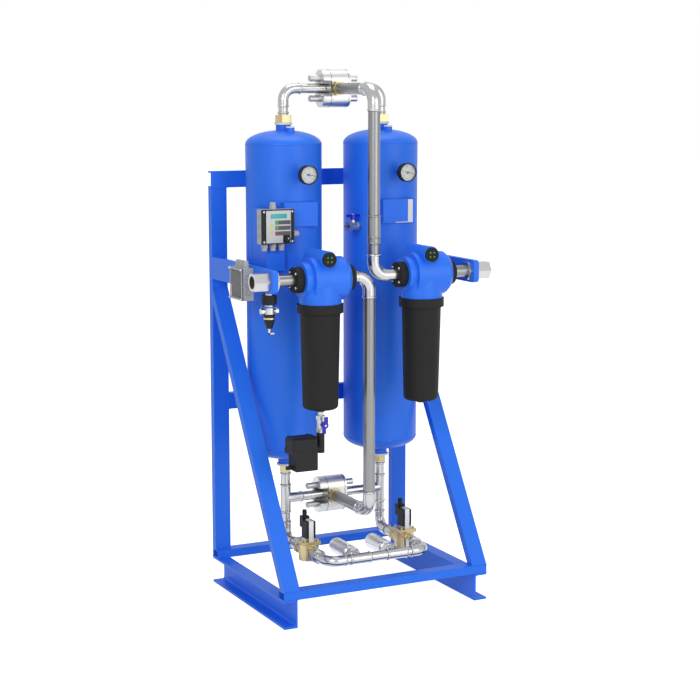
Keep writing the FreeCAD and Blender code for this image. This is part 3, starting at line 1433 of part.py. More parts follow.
flanges = []
for name, x in (("pre", "at.pre_x"), ("after", "at.after_x")):
    flanges.append(filter_flange(name + "_flange_in", x + " - at.head_flange_left", LEFT))
    flanges.append(filter_flange(name + "_flange_out", x + " + dims.head_right", X))
node(group("flange_set", *flanges), "filter_flanges")

# Filter bowls: turned shells with a collar under the neck and a drain stub.
bowl = turned("bowl", [
    ("dims.drain_bore / 2", "at.stub_low"),
    ("dims.stub_dia / 2", "at.stub_low"),
    ("dims.stub_dia / 2", "at.bowl_low"),
    ("dims.bowl_low_dia / 2", "at.bowl_low"),
    ("dims.bowl_top_dia / 2", "at.collar_low"),
    ("dims.collar_dia / 2", "at.collar_low"),
    ("dims.collar_dia / 2", "at.neck_low"),
    ("dims.neck_cavity_dia / 2 - dims.fit_gap", "at.neck_low"),
    ("dims.neck_cavity_dia / 2 - dims.fit_gap", "at.neck_low + dims.bowl_spigot"),
    ("dims.neck_cavity_dia / 2 - dims.fit_gap - dims.bowl_wall", "at.neck_low + dims.bowl_spigot"),
    ("dims.bowl_low_dia / 2 - dims.bowl_wall", "at.bowl_low + dims.bowl_corner"),
    ("dims.bowl_low_dia / 2 - dims.bowl_corner - dims.bowl_wall", "at.bowl_low + dims.bowl_wall"),
    ("dims.drain_bore / 2", "at.bowl_low + dims.bowl_wall"),
])
bowl_edge = Vector(value("bowl_low_dia") / 2, 0, value("bowl_low"))
rounded(bowl, "dims.bowl_corner",
        lambda middle, line: abs(middle.z - bowl_edge.z) < 0.01
        and abs(Vector(middle.x, middle.y, 0).Length - bowl_edge.x) < 0.01, "Part::GeomCircle")
node(group("bowl_pair", copy_of("pre_bowl", bowl, "at.pre_x", "at.filter_line", "0"),
           copy_of("after_bowl", bowl, "at.after_x", "at.filter_line", "0")), "filter_bowls")

# Filter elements hang from the seat bore in each head.
element_top = "at.neck_cavity_top - dims.element_gap"
element = turned("element", [
    ("0", element_top + " - dims.element_length"),
    ("dims.element_dia / 2", element_top + " - dims.element_length"),
    ("dims.element_dia / 2", element_top + " - dims.element_length + dims.element_cap"),
    ("dims.element_dia / 2 - dims.element_lip", element_top + " - dims.element_length + dims.element_cap"),
    ("dims.element_dia / 2 - dims.element_lip", element_top + " - dims.element_cap"),
    ("dims.element_dia / 2", element_top + " - dims.element_cap"),
    ("dims.element_dia / 2", element_top),
    ("dims.element_seat / 2 - dims.fit_gap", element_top),
    ("dims.element_seat / 2 - dims.fit_gap", "dims.port_level - dims.port_bore / 2 - dims.element_stand"),
    ("0", "dims.port_level - dims.port_bore / 2 - dims.element_stand"),
])
node(group("element_pair", copy_of("pre_element", element, "at.pre_x", "at.filter_line", "0"),
           copy_of("after_element", element, "at.after_x", "at.filter_line", "0")),
     "filter_elements")

indicator_front = "at.filter_line - dims.indicator_reach"
indicators = [
    rod(name + "_indicator", "dims.indicator_dia", "dims.indicator_thick", x, indicator_front,
        "dims.port_level + dims.indicator_rise", FRONT)
    for name, x in (("pre", "at.pre_x"), ("after", "at.after_x"))
]
node(group("indicator_pair", *indicators), "filter_indicators")


# Ball valves: flow along Z with the stem to the front, made at the origin and set in place.
def sphere(name, diameter):
    obj = doc.addObject("Part::Sphere", name)
    obj.setExpression("Radius", "(%s) / 2" % diameter)
    return obj


half_body = "dims.ball_body_length / 2"
drain_pipe = tube("drain_pipe", "dims.drain_nipple_dia", "dims.drain_bore", "dims.drain_nipple",
                  "at.pre_x", "at.filter_line", "at.ball_low + dims.ball_body_length")
ball_valve = cut(
    "ball_valve",
    fuse("ball_valve_solid",
         rod("ball_valve_barrel", "dims.ball_body_dia", "dims.ball_body_length", "0", "0",
             "-" + half_body),
         hexagon("ball_valve_hex_low", "dims.ball_hex_flats", "dims.ball_hex", "0", "0",
                 "-" + half_body),
         hexagon("ball_valve_hex_high", "dims.ball_hex_flats", "dims.ball_hex", "0", "0",
                 half_body + " - dims.ball_hex"),
         rod("ball_valve_bonnet", "dims.ball_bonnet_dia", "dims.ball_bonnet", "0", "0", "0", FRONT)),
    rod("ball_valve_way", "dims.ball_bore", "dims.ball_body_length", "0", "0", "-" + half_body),
    rod("ball_valve_stem_way", "dims.ball_stem_dia + 2 * dims.run_gap", "dims.ball_bonnet", "0", "0",
        "0", FRONT),
    sphere("ball_valve_room", "dims.ball_dia + 2 * dims.run_gap"))
ball = fuse(
    "ball",
    cut("ball_core", sphere("ball_ball", "dims.ball_dia"),
        rod("ball_way", "dims.ball_bore", "dims.ball_dia", "0", "0", "-dims.ball_dia / 2")),
    rod("ball_stem", "dims.ball_stem_dia", "dims.ball_stem - dims.ball_dia / 2 + dims.stem_root", "0",
        "-dims.ball_dia / 2 + dims.stem_root", "0", FRONT))
lever_front = "-dims.ball_stem"
lever = cut(
    "lever",
    fuse("lever_solid",
         rod("lever_hub", "dims.lever_hub_dia", "dims.ball_stem - dims.ball_bonnet - dims.fit_gap", "0",
             lever_front, "0", Y),
         box("lever_high_wing", "dims.lever_width", "dims.lever_thick", "dims.lever_length / 2",
             "dims.lever_shift - dims.lever_width / 2", lever_front, "0"),
         box("lever_low_wing", "dims.lever_width", "dims.lever_thick", "dims.lever_length / 2",
             "-dims.lever_shift - dims.lever_width / 2", lever_front, "-dims.lever_length / 2")),
    rod("lever_hole", "dims.ball_stem_dia", "dims.ball_stem", "0", lever_front, "0", Y))

sample_out = Rotation(Z, value("sample_turn")).multVec(-X)
sample_pose = Rotation(sample_out.cross(Z).negative(), DOWN, sample_out, "ZYX")
sample_x = "at.tower_right + %.6f * (at.tower_radius + dims.sample_nipple + %s)" % (sample_out.x, half_body)
sample_y = "at.tower_line + %.6f * (at.tower_radius + dims.sample_nipple + %s)" % (sample_out.y,
                                                                                  half_body)
node(group("ball_valve_pair",
           copy_of("drain_valve", ball_valve, "at.pre_x", "at.filter_line", "at.ball_centre"),
           copy_of("sample_valve", ball_valve, sample_x, sample_y, "at.sample_level", sample_pose),
           drain_pipe), "ball_valve_bodies")
node(copy_of("drain_ball_set", ball, "at.pre_x", "at.filter_line", "at.ball_centre"), "drain_ball")
node(copy_of("drain_lever_set", lever, "at.pre_x", "at.filter_line", "at.ball_centre"),
     "drain_lever")
node(copy_of("sample_ball_set", ball, sample_x, sample_y, "at.sample_level", sample_pose),
     "sample_ball")
node(copy_of("sample_lever_set", lever, sample_x, sample_y, "at.sample_level", sample_pose),
     "sample_lever")

# Level-controlled drain under the pre-filter, with the elbow from the ball valve.
elbow_bottom = "at.ball_low - dims.drain_elbow_drop"
drain_level = "at.ball_low - dims.drain_elbow_drop + dims.drain_elbow_dia / 2"
drain_elbow = fuse(
    "drain_elbow",
    rod("drain_elbow_upright", "dims.drain_elbow_dia", "dims.drain_elbow_drop", "at.pre_x",
        "at.filter_line", elbow_bottom),
    rod("drain_elbow_arm", "dims.drain_arm_dia", "dims.drain_gap", "at.pre_x", "at.filter_line",
        drain_level, LEFT))
drain_case = box("drain_case", "dims.drain_width", "dims.drain_depth", "dims.drain_height",
                 "at.drain_right - dims.drain_width", "at.filter_line - dims.drain_depth / 2",
                 "at.drain_low")
drain_step = extruded("drain_step", "XZ_Plane", [
    ("-dims.drain_lid_width", "at.drain_high"),
    ("-dims.drain_lid_width", "at.drain_high - dims.drain_step_high"),
    ("-dims.drain_width", "at.drain_high - dims.drain_step_low"),
    ("-dims.drain_width", "at.drain_high"),
], "dims.drain_depth")
drain_lid = extruded("drain_lid", "XZ_Plane", [
    ("-dims.drain_lid_width", "at.drain_high"),
    ("0", "at.drain_high"),
    ("0", "at.drain_high + dims.drain_lid"),
    ("-dims.drain_lid_width", "at.drain_high + dims.drain_lid"),
], "dims.drain_depth + 2 * dims.drain_lid_over")
lid_top = value("drain_high") + value("drain_lid")
rounded(drain_lid, "dims.drain_lid_round",
        lambda middle, line: abs(line.z) > 0.9 or (middle.z > lid_top - 0.01 and middle.x < -1))
for piece in (drain_step, drain_lid):
    place(piece, "at.drain_right", "at.filter_line", "0")
drain_unit = fuse(
    "drain_unit", drain_case, drain_step, drain_lid,
    rod("drain_outlet", "dims.drain_outlet_dia", "dims.drain_outlet",
        "at.drain_right - dims.drain_width", "at.filter_line",
        "at.drain_low + dims.drain_outlet_lift + dims.drain_outlet_dia / 2", LEFT))
node(group("drain_pair", drain_unit, drain_elbow), "level_drain")


# Pilot-air regulator under the left arm: body, hand knob and bowl.
def reg_rod(name, diameter, length, z, direction=Z):
    return rod(name, diameter, length, "at.arm_middle", "at.reg_line", z, direction)


reg_solid = fuse(
    "reg_solid",
    reg_rod("reg_core", "dims.reg_body_dia", "dims.reg_body", "at.reg_body_low"),
    reg_rod("reg_neck_rod", "dims.reg_neck_dia", "dims.reg_neck", "at.reg_neck_low"),
    reg_rod("reg_screw", "dims.reg_screw_dia", "dims.reg_neck + dims.knob_height / 2", "at.reg_neck_low"),
    rod("reg_ports", "dims.reg_port_dia", "2 * dims.reg_port", "at.arm_middle - dims.reg_port",
        "at.reg_line", "at.reg_neck_low - dims.reg_port_drop", X),
    *[hexagon("reg_fit_" + side, "dims.reg_fit_flats", "dims.reg_fit",
              "at.arm_middle %s dims.reg_port" % sign, "at.reg_line",
              "at.reg_neck_low - dims.reg_port_drop", inward)
      for side, sign, inward in (("left", "-", X), ("right", "+", LEFT))])
node(reg_solid, "regulator_body")
node(cut("reg_knob", reg_rod("reg_knob_rod", "dims.knob_dia", "dims.knob_height - dims.fit_gap",
                             "at.knob_top - dims.knob_height + dims.fit_gap"),
         reg_rod("reg_knob_hole", "dims.reg_screw_dia + 2 * dims.run_gap",
                 "dims.knob_hole", "at.knob_top - dims.knob_height")), "regulator_knob")
node(fuse("reg_bowl",
          reg_rod("reg_bowl_ring", "dims.reg_body_dia", "dims.reg_ring", "at.reg_ring_low"),
          taper("reg_bowl_cone", "dims.reg_bowl_tip", "dims.reg_body_dia", "dims.reg_bowl",
                "at.arm_middle", "at.reg_line", "at.reg_ring_low - dims.reg_bowl"),
          reg_rod("reg_bowl_barb", "dims.reg_barb_dia", "dims.reg_barb",
                  "at.reg_ring_low - dims.reg_bowl", DOWN)), "regulator_bowl")

# Control box on the left tower: shell, cover with the rotary switch, and cable glands.
box_shell = cut(
    "box_shell",
    box("box_shell_outer", "dims.box_width", "dims.box_depth", "dims.box_height", "at.box_left",
        "at.box_front + dims.cover_thick", "at.box_low"),
    box("box_shell_inner", "dims.box_width - 2 * dims.box_wall", "dims.box_depth - dims.box_wall",
        "dims.box_height - 2 * dims.box_wall", "at.box_left + dims.box_wall",
        "at.box_front + dims.cover_thick", "at.box_low + dims.box_wall"))
node(box_shell, "control_box")
switch_at = ("at.box_centre + dims.switch_x", "at.box_front", "at.box_level + dims.switch_z")
node(cut("box_cover",
         box("box_cover_plate", "dims.box_width", "dims.cover_thick", "dims.box_height",
             "at.box_left", "at.box_front", "at.box_low"),
         rod("box_cover_hole", "dims.switch_shaft + 2 * dims.run_gap", "dims.cover_thick", *switch_at,
             Y)), "control_cover")
node(fuse("switch",
          rod("switch_knob", "dims.switch_dia", "dims.switch_depth", switch_at[0],
              "at.box_front - dims.fit_gap", switch_at[2], FRONT),
          rod("switch_pin", "dims.switch_shaft", "dims.switch_pin + dims.fit_gap", switch_at[0],
              "at.box_front - dims.fit_gap", switch_at[2], Y)), "control_switch")


def gland(name, x, y, z, direction):
    """A cable gland: a round base with a hexagonal cap nut."""
    base = rod(name + "_base", "dims.gland_dia", "dims.gland_height", x, y, z, direction)
    nut = hexagon(name + "_nut", "dims.gland_flats", "dims.gland_height / 2", x, y, z, direction)
    return fuse(name, base, nut)


box_middle = "at.box_front + dims.cover_thick + dims.box_depth / 2"
glands = [gland("gland_top", "at.box_centre - dims.strip_offset", box_middle,
                "at.box_low + dims.box_height", Z),
          gland("gland_side", "at.box_left + dims.box_width", box_middle,
                "at.box_low + dims.side_gland_lift", X)]
for i, step in enumerate(("- dims.gland_pitch", "", "+ dims.gland_pitch")):
    glands.append(gland("gland_low%d" % i, "at.box_centre - dims.strip_offset " + step, box_middle,
                        "at.box_low", DOWN))
    glands.append(gland("gland_junction%d" % i, "at.frame_left - dims.junction_depth / 2",
                        "at.junction_centre " + step,
                        "at.junction_low + dims.junction_height", Z))
node(group("gland_set", *glands), "cable_glands")

# Junction box on the outside of the left arm, with a clear cover.
junction_left = "at.frame_left - dims.junction_depth"
node(cut("junction_shell",
         box("junction_outer", "dims.junction_depth", "dims.junction_width", "dims.junction_height",
             junction_left, "at.junction_front", "at.junction_low"),
         box("junction_inner", "dims.junction_depth - dims.junction_wall",
             "dims.junction_width - 2 * dims.junction_wall",
             "dims.junction_height - 2 * dims.junction_wall", junction_left,
             "at.junction_front + dims.junction_wall", "at.junction_low + dims.junction_wall")),
     "junction_box")
node(box("junction_lid", "dims.junction_cover", "dims.junction_width", "dims.junction_height",
         junction_left + " - dims.junction_cover", "at.junction_front", "at.junction_low"),
     "junction_cover")


# Sheet brackets: the control box's strip, both name plate brackets, the regulator's hanger and the
# coil straps.
def standoff(name, width, height, thick, x, z, front, tower):
    """A U-shaped sheet bracket whose two legs end on the tower's round wall."""
    outer = box(name + "_outer", width, "at.tower_line - (%s)" % front, height,
                "%s - %s / 2" % (x, width), front, z)
    inner = box(name + "_inner", "%s - 2 * %s" % (width, thick),
                "at.tower_line - (%s) - %s" % (front, thick), height,
                "%s - %s / 2 + %s" % (x, width, thick), "%s + %s" % (front, thick), z)
    skin = rod(name + "_skin", "dims.tower_dia + 2 * dims.fit_gap", height, tower, "at.tower_line", z)
    return cut(name, outer, inner, skin)


brackets = [
    standoff("control_strip", "dims.strip_width",
             "(at.box_low + dims.box_height - at.strip_low)", "dims.strip_thick",
             "at.box_centre + dims.strip_offset", "at.strip_low", "at.box_back", "at.tower_left"),
    standoff("name_left", "dims.name_width", "dims.name_height", "dims.name_thick",
             "at.tower_left", "at.name_low", "at.name_front",
             "at.tower_left"),
    standoff("name_right", "dims.name_width", "dims.name_height", "dims.name_thick",
             "at.tower_right", "at.name_low", "at.name_front",
             "at.tower_right"),
]
hanger_back = "at.reg_line + dims.knob_dia / 2 + dims.hanger_gap"
hanger = cut(
    "hanger",
    fuse("hanger_solid",
         box("hanger_strap", "dims.arm_thick", "dims.reg_plate", "at.arm_low - at.reg_neck_low",
             "at.frame_left", hanger_back, "at.reg_neck_low"),
         box("hanger_ring", "dims.hanger_width",
             "dims.hanger_front + dims.knob_dia / 2 + dims.hanger_gap", "dims.reg_plate",
             "at.arm_middle - dims.hanger_width / 2", "at.reg_line - dims.hanger_front",
             "at.reg_neck_low + dims.reg_plate")),
    reg_rod("hanger_hole", "dims.reg_neck_dia + 2 * dims.fit_gap", "dims.reg_neck",
            "at.reg_neck_low"))
node(group("bracket_set", *brackets, hanger, *straps), "sheet_brackets")

# Bolts between the tower lugs and the beams.
lug_bolts = []
for x in ("at.tower_left", "at.tower_right"):
    for level in lug_levels:
        for side in "-+":
            name = "lug_bolt%d" % len(lug_bolts)
            where = "%s %s dims.lug_bolt_pitch / 2" % (x, side)
            grip = "dims.lug_wall + dims.channel_web"
            lug_bolts.append(fuse(
                name,
                hexagon(name + "_head", "dims.bolt_flats", "dims.bolt_head", where,
                        "at.post_front - dims.lug_wall", level, FRONT),
                rod(name + "_shank", "dims.bolt_dia", grip, where, "at.post_front - dims.lug_wall",
                    level, Y),
                hexagon(name + "_nut", "dims.bolt_flats", "dims.nut_height", where,
                        "at.post_front + dims.channel_web", level, Y)))
node(group("lug_bolt_set", *lug_bolts), "lug_bolts")

doc.recompute()
for obj in doc.Objects:
    if "Invalid" in obj.State or "Error" in obj.State:
        raise RuntimeError("%s failed: %s" % (obj.Name, obj.State))


def shape_of(obj):
    return Part.getShape(obj)


os.makedirs("parts", exist_ok=True)
for obj in nodes:
    shape = shape_of(obj)
    if shape.isNull() or not shape.isValid():
        raise RuntimeError("%s has no valid shape" % obj.Label)
    shape.exportStep("parts/%s.step" % obj.Label)
print("%d nodes, %d solids" % (len(nodes), sum(len(shape_of(obj).Solids) for obj in nodes)))
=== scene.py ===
import math

import bmesh
import bpy
from mathutils import Matrix, Vector


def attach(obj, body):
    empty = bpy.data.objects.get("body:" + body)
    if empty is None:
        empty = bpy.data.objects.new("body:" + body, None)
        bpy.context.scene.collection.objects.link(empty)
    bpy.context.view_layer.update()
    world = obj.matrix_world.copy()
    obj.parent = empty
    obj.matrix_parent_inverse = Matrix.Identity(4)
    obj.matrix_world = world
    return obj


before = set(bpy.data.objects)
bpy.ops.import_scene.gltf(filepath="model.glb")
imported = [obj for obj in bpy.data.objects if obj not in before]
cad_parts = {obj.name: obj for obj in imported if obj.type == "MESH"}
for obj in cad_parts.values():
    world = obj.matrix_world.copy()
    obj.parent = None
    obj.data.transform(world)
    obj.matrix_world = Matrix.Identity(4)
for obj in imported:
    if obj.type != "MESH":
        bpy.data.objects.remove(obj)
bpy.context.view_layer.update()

# The studio: a pale floor with the dryer's shadow, soft lamps at the left, in front and above, and
# the camera at the photograph's viewing angle, six metres away and a little above the gauges.
camera = bpy.data.objects.new("camera", bpy.data.cameras.new("camera"))
camera.data.lens, camera.data.sensor_width = 87.21, 36.0
camera.location = (-2.70493, -5.43444, 1.84949)
camera.rotation_euler = (math.radians(81.106), math.radians(0.018), math.radians(-26.559))
bpy.context.scene.collection.objects.link(camera)
bpy.context.scene.camera = camera
bpy.context.scene.view_settings.view_transform = "Standard"

world = bpy.data.worlds.new("studio")
bpy.context.scene.world = world
world.use_nodes = True
room = world.node_tree
room.nodes.clear()


def seen_directly(tree):
    """1 for rays that look at, mirror or pass through to the surface, and 0 for its light."""
    path = tree.nodes.new("ShaderNodeLightPath")
    total = path.outputs["Is Camera Ray"]
    for ray in ("Is Glossy Ray", "Is Transmission Ray"):
        step = tree.nodes.new("ShaderNodeMath")
        step.operation = "MAXIMUM"
        tree.links.new(total, step.inputs[0])
        tree.links.new(path.outputs[ray], step.inputs[1])
        total = step.outputs[0]
    return total


backdrop = room.nodes.new("ShaderNodeBackground")
backdrop.inputs["Color"].default_value = (1, 1, 1, 1)
daylight = room.nodes.new("ShaderNodeBackground")
daylight.inputs["Color"].default_value = (0.97, 0.98, 1, 1)
daylight.inputs["Strength"].default_value = 0.42
choice = room.nodes.new("ShaderNodeMixShader")
sky = room.nodes.new("ShaderNodeOutputWorld")
room.links.new(seen_directly(room), choice.inputs[0])
room.links.new(daylight.outputs[0], choice.inputs[1])
room.links.new(backdrop.outputs[0], choice.inputs[2])
room.links.new(choice.outputs[0], sky.inputs["Surface"])


def lamp(name, place, width, power):
    """A square soft box that looks at the middle of the dryer."""
    light = bpy.data.lights.new(name, "AREA")
    light.size, light.energy = width, power
    holder = bpy.data.objects.new(name, light)
    holder.location = place
    aim = Vector((0, 0, 0.95)) - holder.location
    holder.rotation_euler = aim.to_track_quat("-Z", "Y").to_euler()
    bpy.context.scene.collection.objects.link(holder)


lamp("key_lamp", (-3.4, -3.8, 3.0), 2.0, 92)
lamp("front_lamp", (1.6, -5.2, 2.2), 3.6, 92)
lamp("top_lamp", (0.2, 0.4, 4.4), 2.2, 42)

floor_mesh = bpy.data.meshes.new("floor")
floor_corners = [(-30, -30, 0), (30, -30, 0), (30, 30, 0), (-30, 30, 0)]
floor_mesh.from_pydata(floor_corners, [], [(0, 1, 2, 3)])
floor = bpy.data.objects.new("floor", floor_mesh)
bpy.context.scene.collection.objects.link(floor)
floor_paint = bpy.data.materials.new("floor")
floor_paint.use_nodes = True
tree = floor_paint.node_tree
shader = tree.nodes["Principled BSDF"]
shader.inputs["Base Color"].default_value = (0.86, 0.86, 0.86, 1)
shader.inputs["Roughness"].default_value = 1.0
shader.inputs["Specular IOR Level"].default_value = 0.0
shader.inputs["Emission Color"].default_value = (1, 1, 1, 1)
lift = tree.nodes.new("ShaderNodeMath")
lift.operation = "MULTIPLY"
lift.inputs[1].default_value = 0.85
tree.links.new(seen_directly(tree), lift.inputs[0])
tree.links.new(lift.outputs[0], shader.inputs["Emission Strength"])
floor_mesh.materials.append(floor_paint)


# Frame: two U channels as feet, hollow bars across them, U posts and beams at the back, braces to
# the front and flat arms for the pipes. All is welded from rolled steel and painted one blue.
def mask_group(name, sockets_in, sockets_out):
    """An empty shader group with named values in, and named masks or normals out."""
    group = bpy.data.node_groups.new(name, "ShaderNodeTree")
    for title, start in sockets_in:
        socket = group.interface.new_socket(title, in_out="INPUT", socket_type="NodeSocketFloat")
        socket.default_value = start
    for title, kind in sockets_out:
        group.interface.new_socket(title, in_out="OUTPUT", socket_type=kind)
    return group, group.nodes.new("NodeGroupInput"), group.nodes.new("NodeGroupOutput")


# Cloudy difference in a sprayed or moulded surface, as a factor near 1.
cloud, cloud_in, cloud_out = mask_group(
    "cloudiness", [("Scale", 6.0), ("Amount", 0.06)], [("Factor", "NodeSocketFloat")])
where = cloud.nodes.new("ShaderNodeTexCoord")
blotch = cloud.nodes.new("ShaderNodeTexNoise")
blotch.inputs["Detail"].default_value = 4.0
span = cloud.nodes.new("ShaderNodeMapRange")
span.inputs["To Max"].default_value = 1.0
least = cloud.nodes.new("ShaderNodeMath")
least.operation = "SUBTRACT"
least.inputs[0].default_value = 1.0
cloud.links.new(where.outputs["Object"], blotch.inputs["Vector"])
cloud.links.new(cloud_in.outputs["Scale"], blotch.inputs["Scale"])
cloud.links.new(cloud_in.outputs["Amount"], least.inputs[1])
cloud.links.new(blotch.outputs["Fac"], span.inputs["Value"])
cloud.links.new(least.outputs[0], span.inputs["To Min"])
cloud.links.new(span.outputs["Result"], cloud_out.inputs["Factor"])

# The fine skin of paint, mould or blasting, as a height.
skin, skin_in, skin_out = mask_group(
    "fine_skin", [("Scale", 400.0), ("Depth", 1.0)], [("Height", "NodeSocketFloat")])
where = skin.nodes.new("ShaderNodeTexCoord")
grit = skin.nodes.new("ShaderNodeTexNoise")
grit.inputs["Detail"].default_value = 2.0
depth = skin.nodes.new("ShaderNodeMath")
depth.operation = "MULTIPLY"
skin.links.new(where.outputs["Object"], grit.inputs["Vector"])
skin.links.new(skin_in.outputs["Scale"], grit.inputs["Scale"])
skin.links.new(grit.outputs["Fac"], depth.inputs[0])
skin.links.new(skin_in.outputs["Depth"], depth.inputs[1])
skin.links.new(depth.outputs[0], skin_out.inputs["Height"])

# Edges that are painted lighter, as painted highlight and a little lost paint: where the
# rounded normal leaves the flat one.
edges, edges_in, edges_out = mask_group(
    "worn_and_highlit_edges", [("Radius", 0.002), ("Strength", 1.0)],
    [("Mask", "NodeSocketFloat"), ("Normal", "NodeSocketVector")])
soften = edges.nodes.new("ShaderNodeBevel")
soften.samples = 4
flat = edges.nodes.new("ShaderNodeNewGeometry")
meet = edges.nodes.new("ShaderNodeVectorMath")
meet.operation = "DOT_PRODUCT"
leave = edges.nodes.new("ShaderNodeMapRange")
leave.inputs["From Min"].default_value = 0.98
leave.inputs["From Max"].default_value = 0.72
scaled = edges.nodes.new("ShaderNodeMath")
scaled.operation = "MULTIPLY"
edges.links.new(edges_in.outputs["Radius"], soften.inputs["Radius"])
edges.links.new(soften.outputs["Normal"], meet.inputs[0])
edges.links.new(flat.outputs["Normal"], meet.inputs[1])
edges.links.new(meet.outputs["Value"], leave.inputs["Value"])
edges.links.new(leave.outputs["Result"], scaled.inputs[0])
edges.links.new(edges_in.outputs["Strength"], scaled.inputs[1])
edges.links.new(scaled.outputs[0], edges_out.inputs["Mask"])
edges.links.new(soften.outputs["Normal"], edges_out.inputs["Normal"])


def coated(name, colour, roughness, cloudiness=(5.0, 0.06), fine=(500.0, 0.08), edge=0.0015,
           wear_and_highlight=0.25, metallic=0.0, shine=0.5):
    """A painted, moulded or plated finish: a cloudy tone and a fine skin, each by scale and
    strength, and edges that are rounded by a radius in metres and painted lighter to a share,
    as painted highlight and wear."""
    finish = bpy.data.materials.new(name)
    finish.use_nodes = True
    finish.diffuse_color = (*colour, 1)
    tree = finish.node_tree
    shader = tree.nodes["Principled BSDF"]
    shader.inputs["Metallic"].default_value = metallic
    shader.inputs["Specular IOR Level"].default_value = shine
    tone = tree.nodes.new("ShaderNodeGroup")
    tone.node_tree = cloud
    tone.inputs["Scale"].default_value, tone.inputs["Amount"].default_value = cloudiness
    edge_rub_and_highlight = tree.nodes.new("ShaderNodeGroup")
    edge_rub_and_highlight.node_tree = edges
    edge_rub_and_highlight.inputs["Radius"].default_value = edge
    edge_rub_and_highlight.inputs["Strength"].default_value = wear_and_highlight
    face = tree.nodes.new("ShaderNodeGroup")
    face.node_tree = skin
    face.inputs["Scale"].default_value, face.inputs["Depth"].default_value = fine
    shade = tree.nodes.new("ShaderNodeMix")
    shade.data_type, shade.blend_type = "RGBA", "MULTIPLY"
    shade.inputs["Factor"].default_value = 1.0
    shade.inputs["A"].default_value = (*colour, 1)
    # Edges are mixed towards a lighter copy of the colour: painted highlight and a little worn
    # paint.
    rubbed_and_highlit = tree.nodes.new("ShaderNodeMix")
    rubbed_and_highlit.data_type = "RGBA"
    lighter = tuple(min(1.0, c * 1.5 + 0.02) for c in colour)
    rubbed_and_highlit.inputs["B"].default_value = (*lighter, 1)
    dull = tree.nodes.new("ShaderNodeMapRange")
    dull.inputs["To Min"].default_value = roughness * 1.12
    dull.inputs["To Max"].default_value = roughness * 0.94
    dull.inputs["From Min"].default_value = 1.0 - cloudiness[1]
    bump = tree.nodes.new("ShaderNodeBump")
    bump.inputs["Distance"].default_value = 0.0004
    bump.inputs["Strength"].default_value = 0.25
    tree.links.new(tone.outputs["Factor"], shade.inputs["B"])
    tree.links.new(tone.outputs["Factor"], dull.inputs["Value"])
    tree.links.new(dull.outputs["Result"], shader.inputs["Roughness"])
    tree.links.new(edge_rub_and_highlight.outputs["Mask"], rubbed_and_highlit.inputs["Factor"])
    tree.links.new(shade.outputs["Result"], rubbed_and_highlit.inputs["A"])
    tree.links.new(rubbed_and_highlit.outputs["Result"], shader.inputs["Base Color"])
    tree.links.new(face.outputs["Height"], bump.inputs["Height"])
    tree.links.new(edge_rub_and_highlight.outputs["Normal"], bump.inputs["Normal"])
    tree.links.new(bump.outputs["Normal"], shader.inputs["Normal"])
    return finish


def dress(finish, *names):
    """Gives CAD pieces their finish."""
    for name in names:
        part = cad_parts[name]
        if not part.material_slots:
            part.data.materials.append(finish)
        for slot in part.material_slots:
            slot.material = finish


bright_blue = (0.018, 0.172, 0.88)
frame_paint = coated("frame_paint", bright_blue, 0.46, fine=(420.0, 0.6), wear_and_highlight=0.3, shine=0.3)
dress(frame_paint, "foot_channels", "base_tubes", "back_posts", "beam_top", "beam_lower",
      "side_braces", "pipe_arms")

# Which way a piece's own X, Y and Z point on the dryer. Pieces are drawn in millimetres with
# their visible face towards their own +Z.
facings = {
    "up": ((1, 0, 0), (0, 1, 0), (0, 0, 1)),
    "down": ((1, 0, 0), (0, -1, 0), (0, 0, -1)),
    "front": ((1, 0, 0), (0, 0, 1), (0, -1, 0)),
    "back": ((-1, 0, 0), (0, 0, 1), (0, 1, 0)),
    "left": ((0, -1, 0), (0, 0, 1), (-1, 0, 0)),
    "right": ((0, 1, 0), (0, 0, 1), (1, 0, 0)),
}


def settle(name, mesh, at, facing, finish, body="root"):
    """Turns and places a mesh drawn in millimetres, and makes it a piece on one of the bodies."""
    turn = Matrix(facings[facing]).transposed().to_4x4()
    mesh.transform(Matrix.Scale(0.001, 4) @ Matrix.Translation(Vector(at)) @ turn)
    shape = bmesh.new()
    shape.from_mesh(mesh)
    bmesh.ops.remove_doubles(shape, verts=shape.verts, dist=1e-6)
    bmesh.ops.recalc_face_normals(shape, faces=shape.faces)
    shape.to_mesh(mesh)
    shape.free()
    mesh.materials.clear()
    mesh.materials.append(finish)
    mesh.polygons.foreach_set("material_index", [0] * len(mesh.polygons))
    mesh.polygons.foreach_set("use_smooth", [True] * len(mesh.polygons))
    mesh.set_sharp_from_angle(angle=math.radians(38))
    mesh.name = name
    piece = bpy.data.objects.new(name, mesh)
    bpy.context.scene.collection.objects.link(piece)
    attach(piece, body)
    return piece


def growing_tree(name, sizes, counts=()):
    """An empty Geometry Nodes tree with a mesh in, named sizes, named counts and a finish."""
    group = bpy.data.node_groups.new(name, "GeometryNodeTree")
    face = group.interface
    face.new_socket("Start", in_out="INPUT", socket_type="NodeSocketGeometry")
    for title in sizes:
        face.new_socket(title, in_out="INPUT", socket_type="NodeSocketFloat")
    for title in counts:
        face.new_socket(title, in_out="INPUT", socket_type="NodeSocketInt")
    face.new_socket("Finish", in_out="INPUT", socket_type="NodeSocketMaterial")
    face.new_socket("Result", in_out="OUTPUT", socket_type="NodeSocketGeometry")
    return group, group.nodes.new("NodeGroupInput"), group.nodes.new("NodeGroupOutput")


def arithmetic(group, operation, first, second):
    """One sum in a tree. Each side is a socket or a number."""
    step = group.nodes.new("ShaderNodeMath")
    step.operation = operation
    for socket, side in zip(step.inputs, (first, second)):
        if isinstance(side, (int, float)):
            socket.default_value = side
        else:
            group.links.new(side, socket)
    return step.outputs[0]


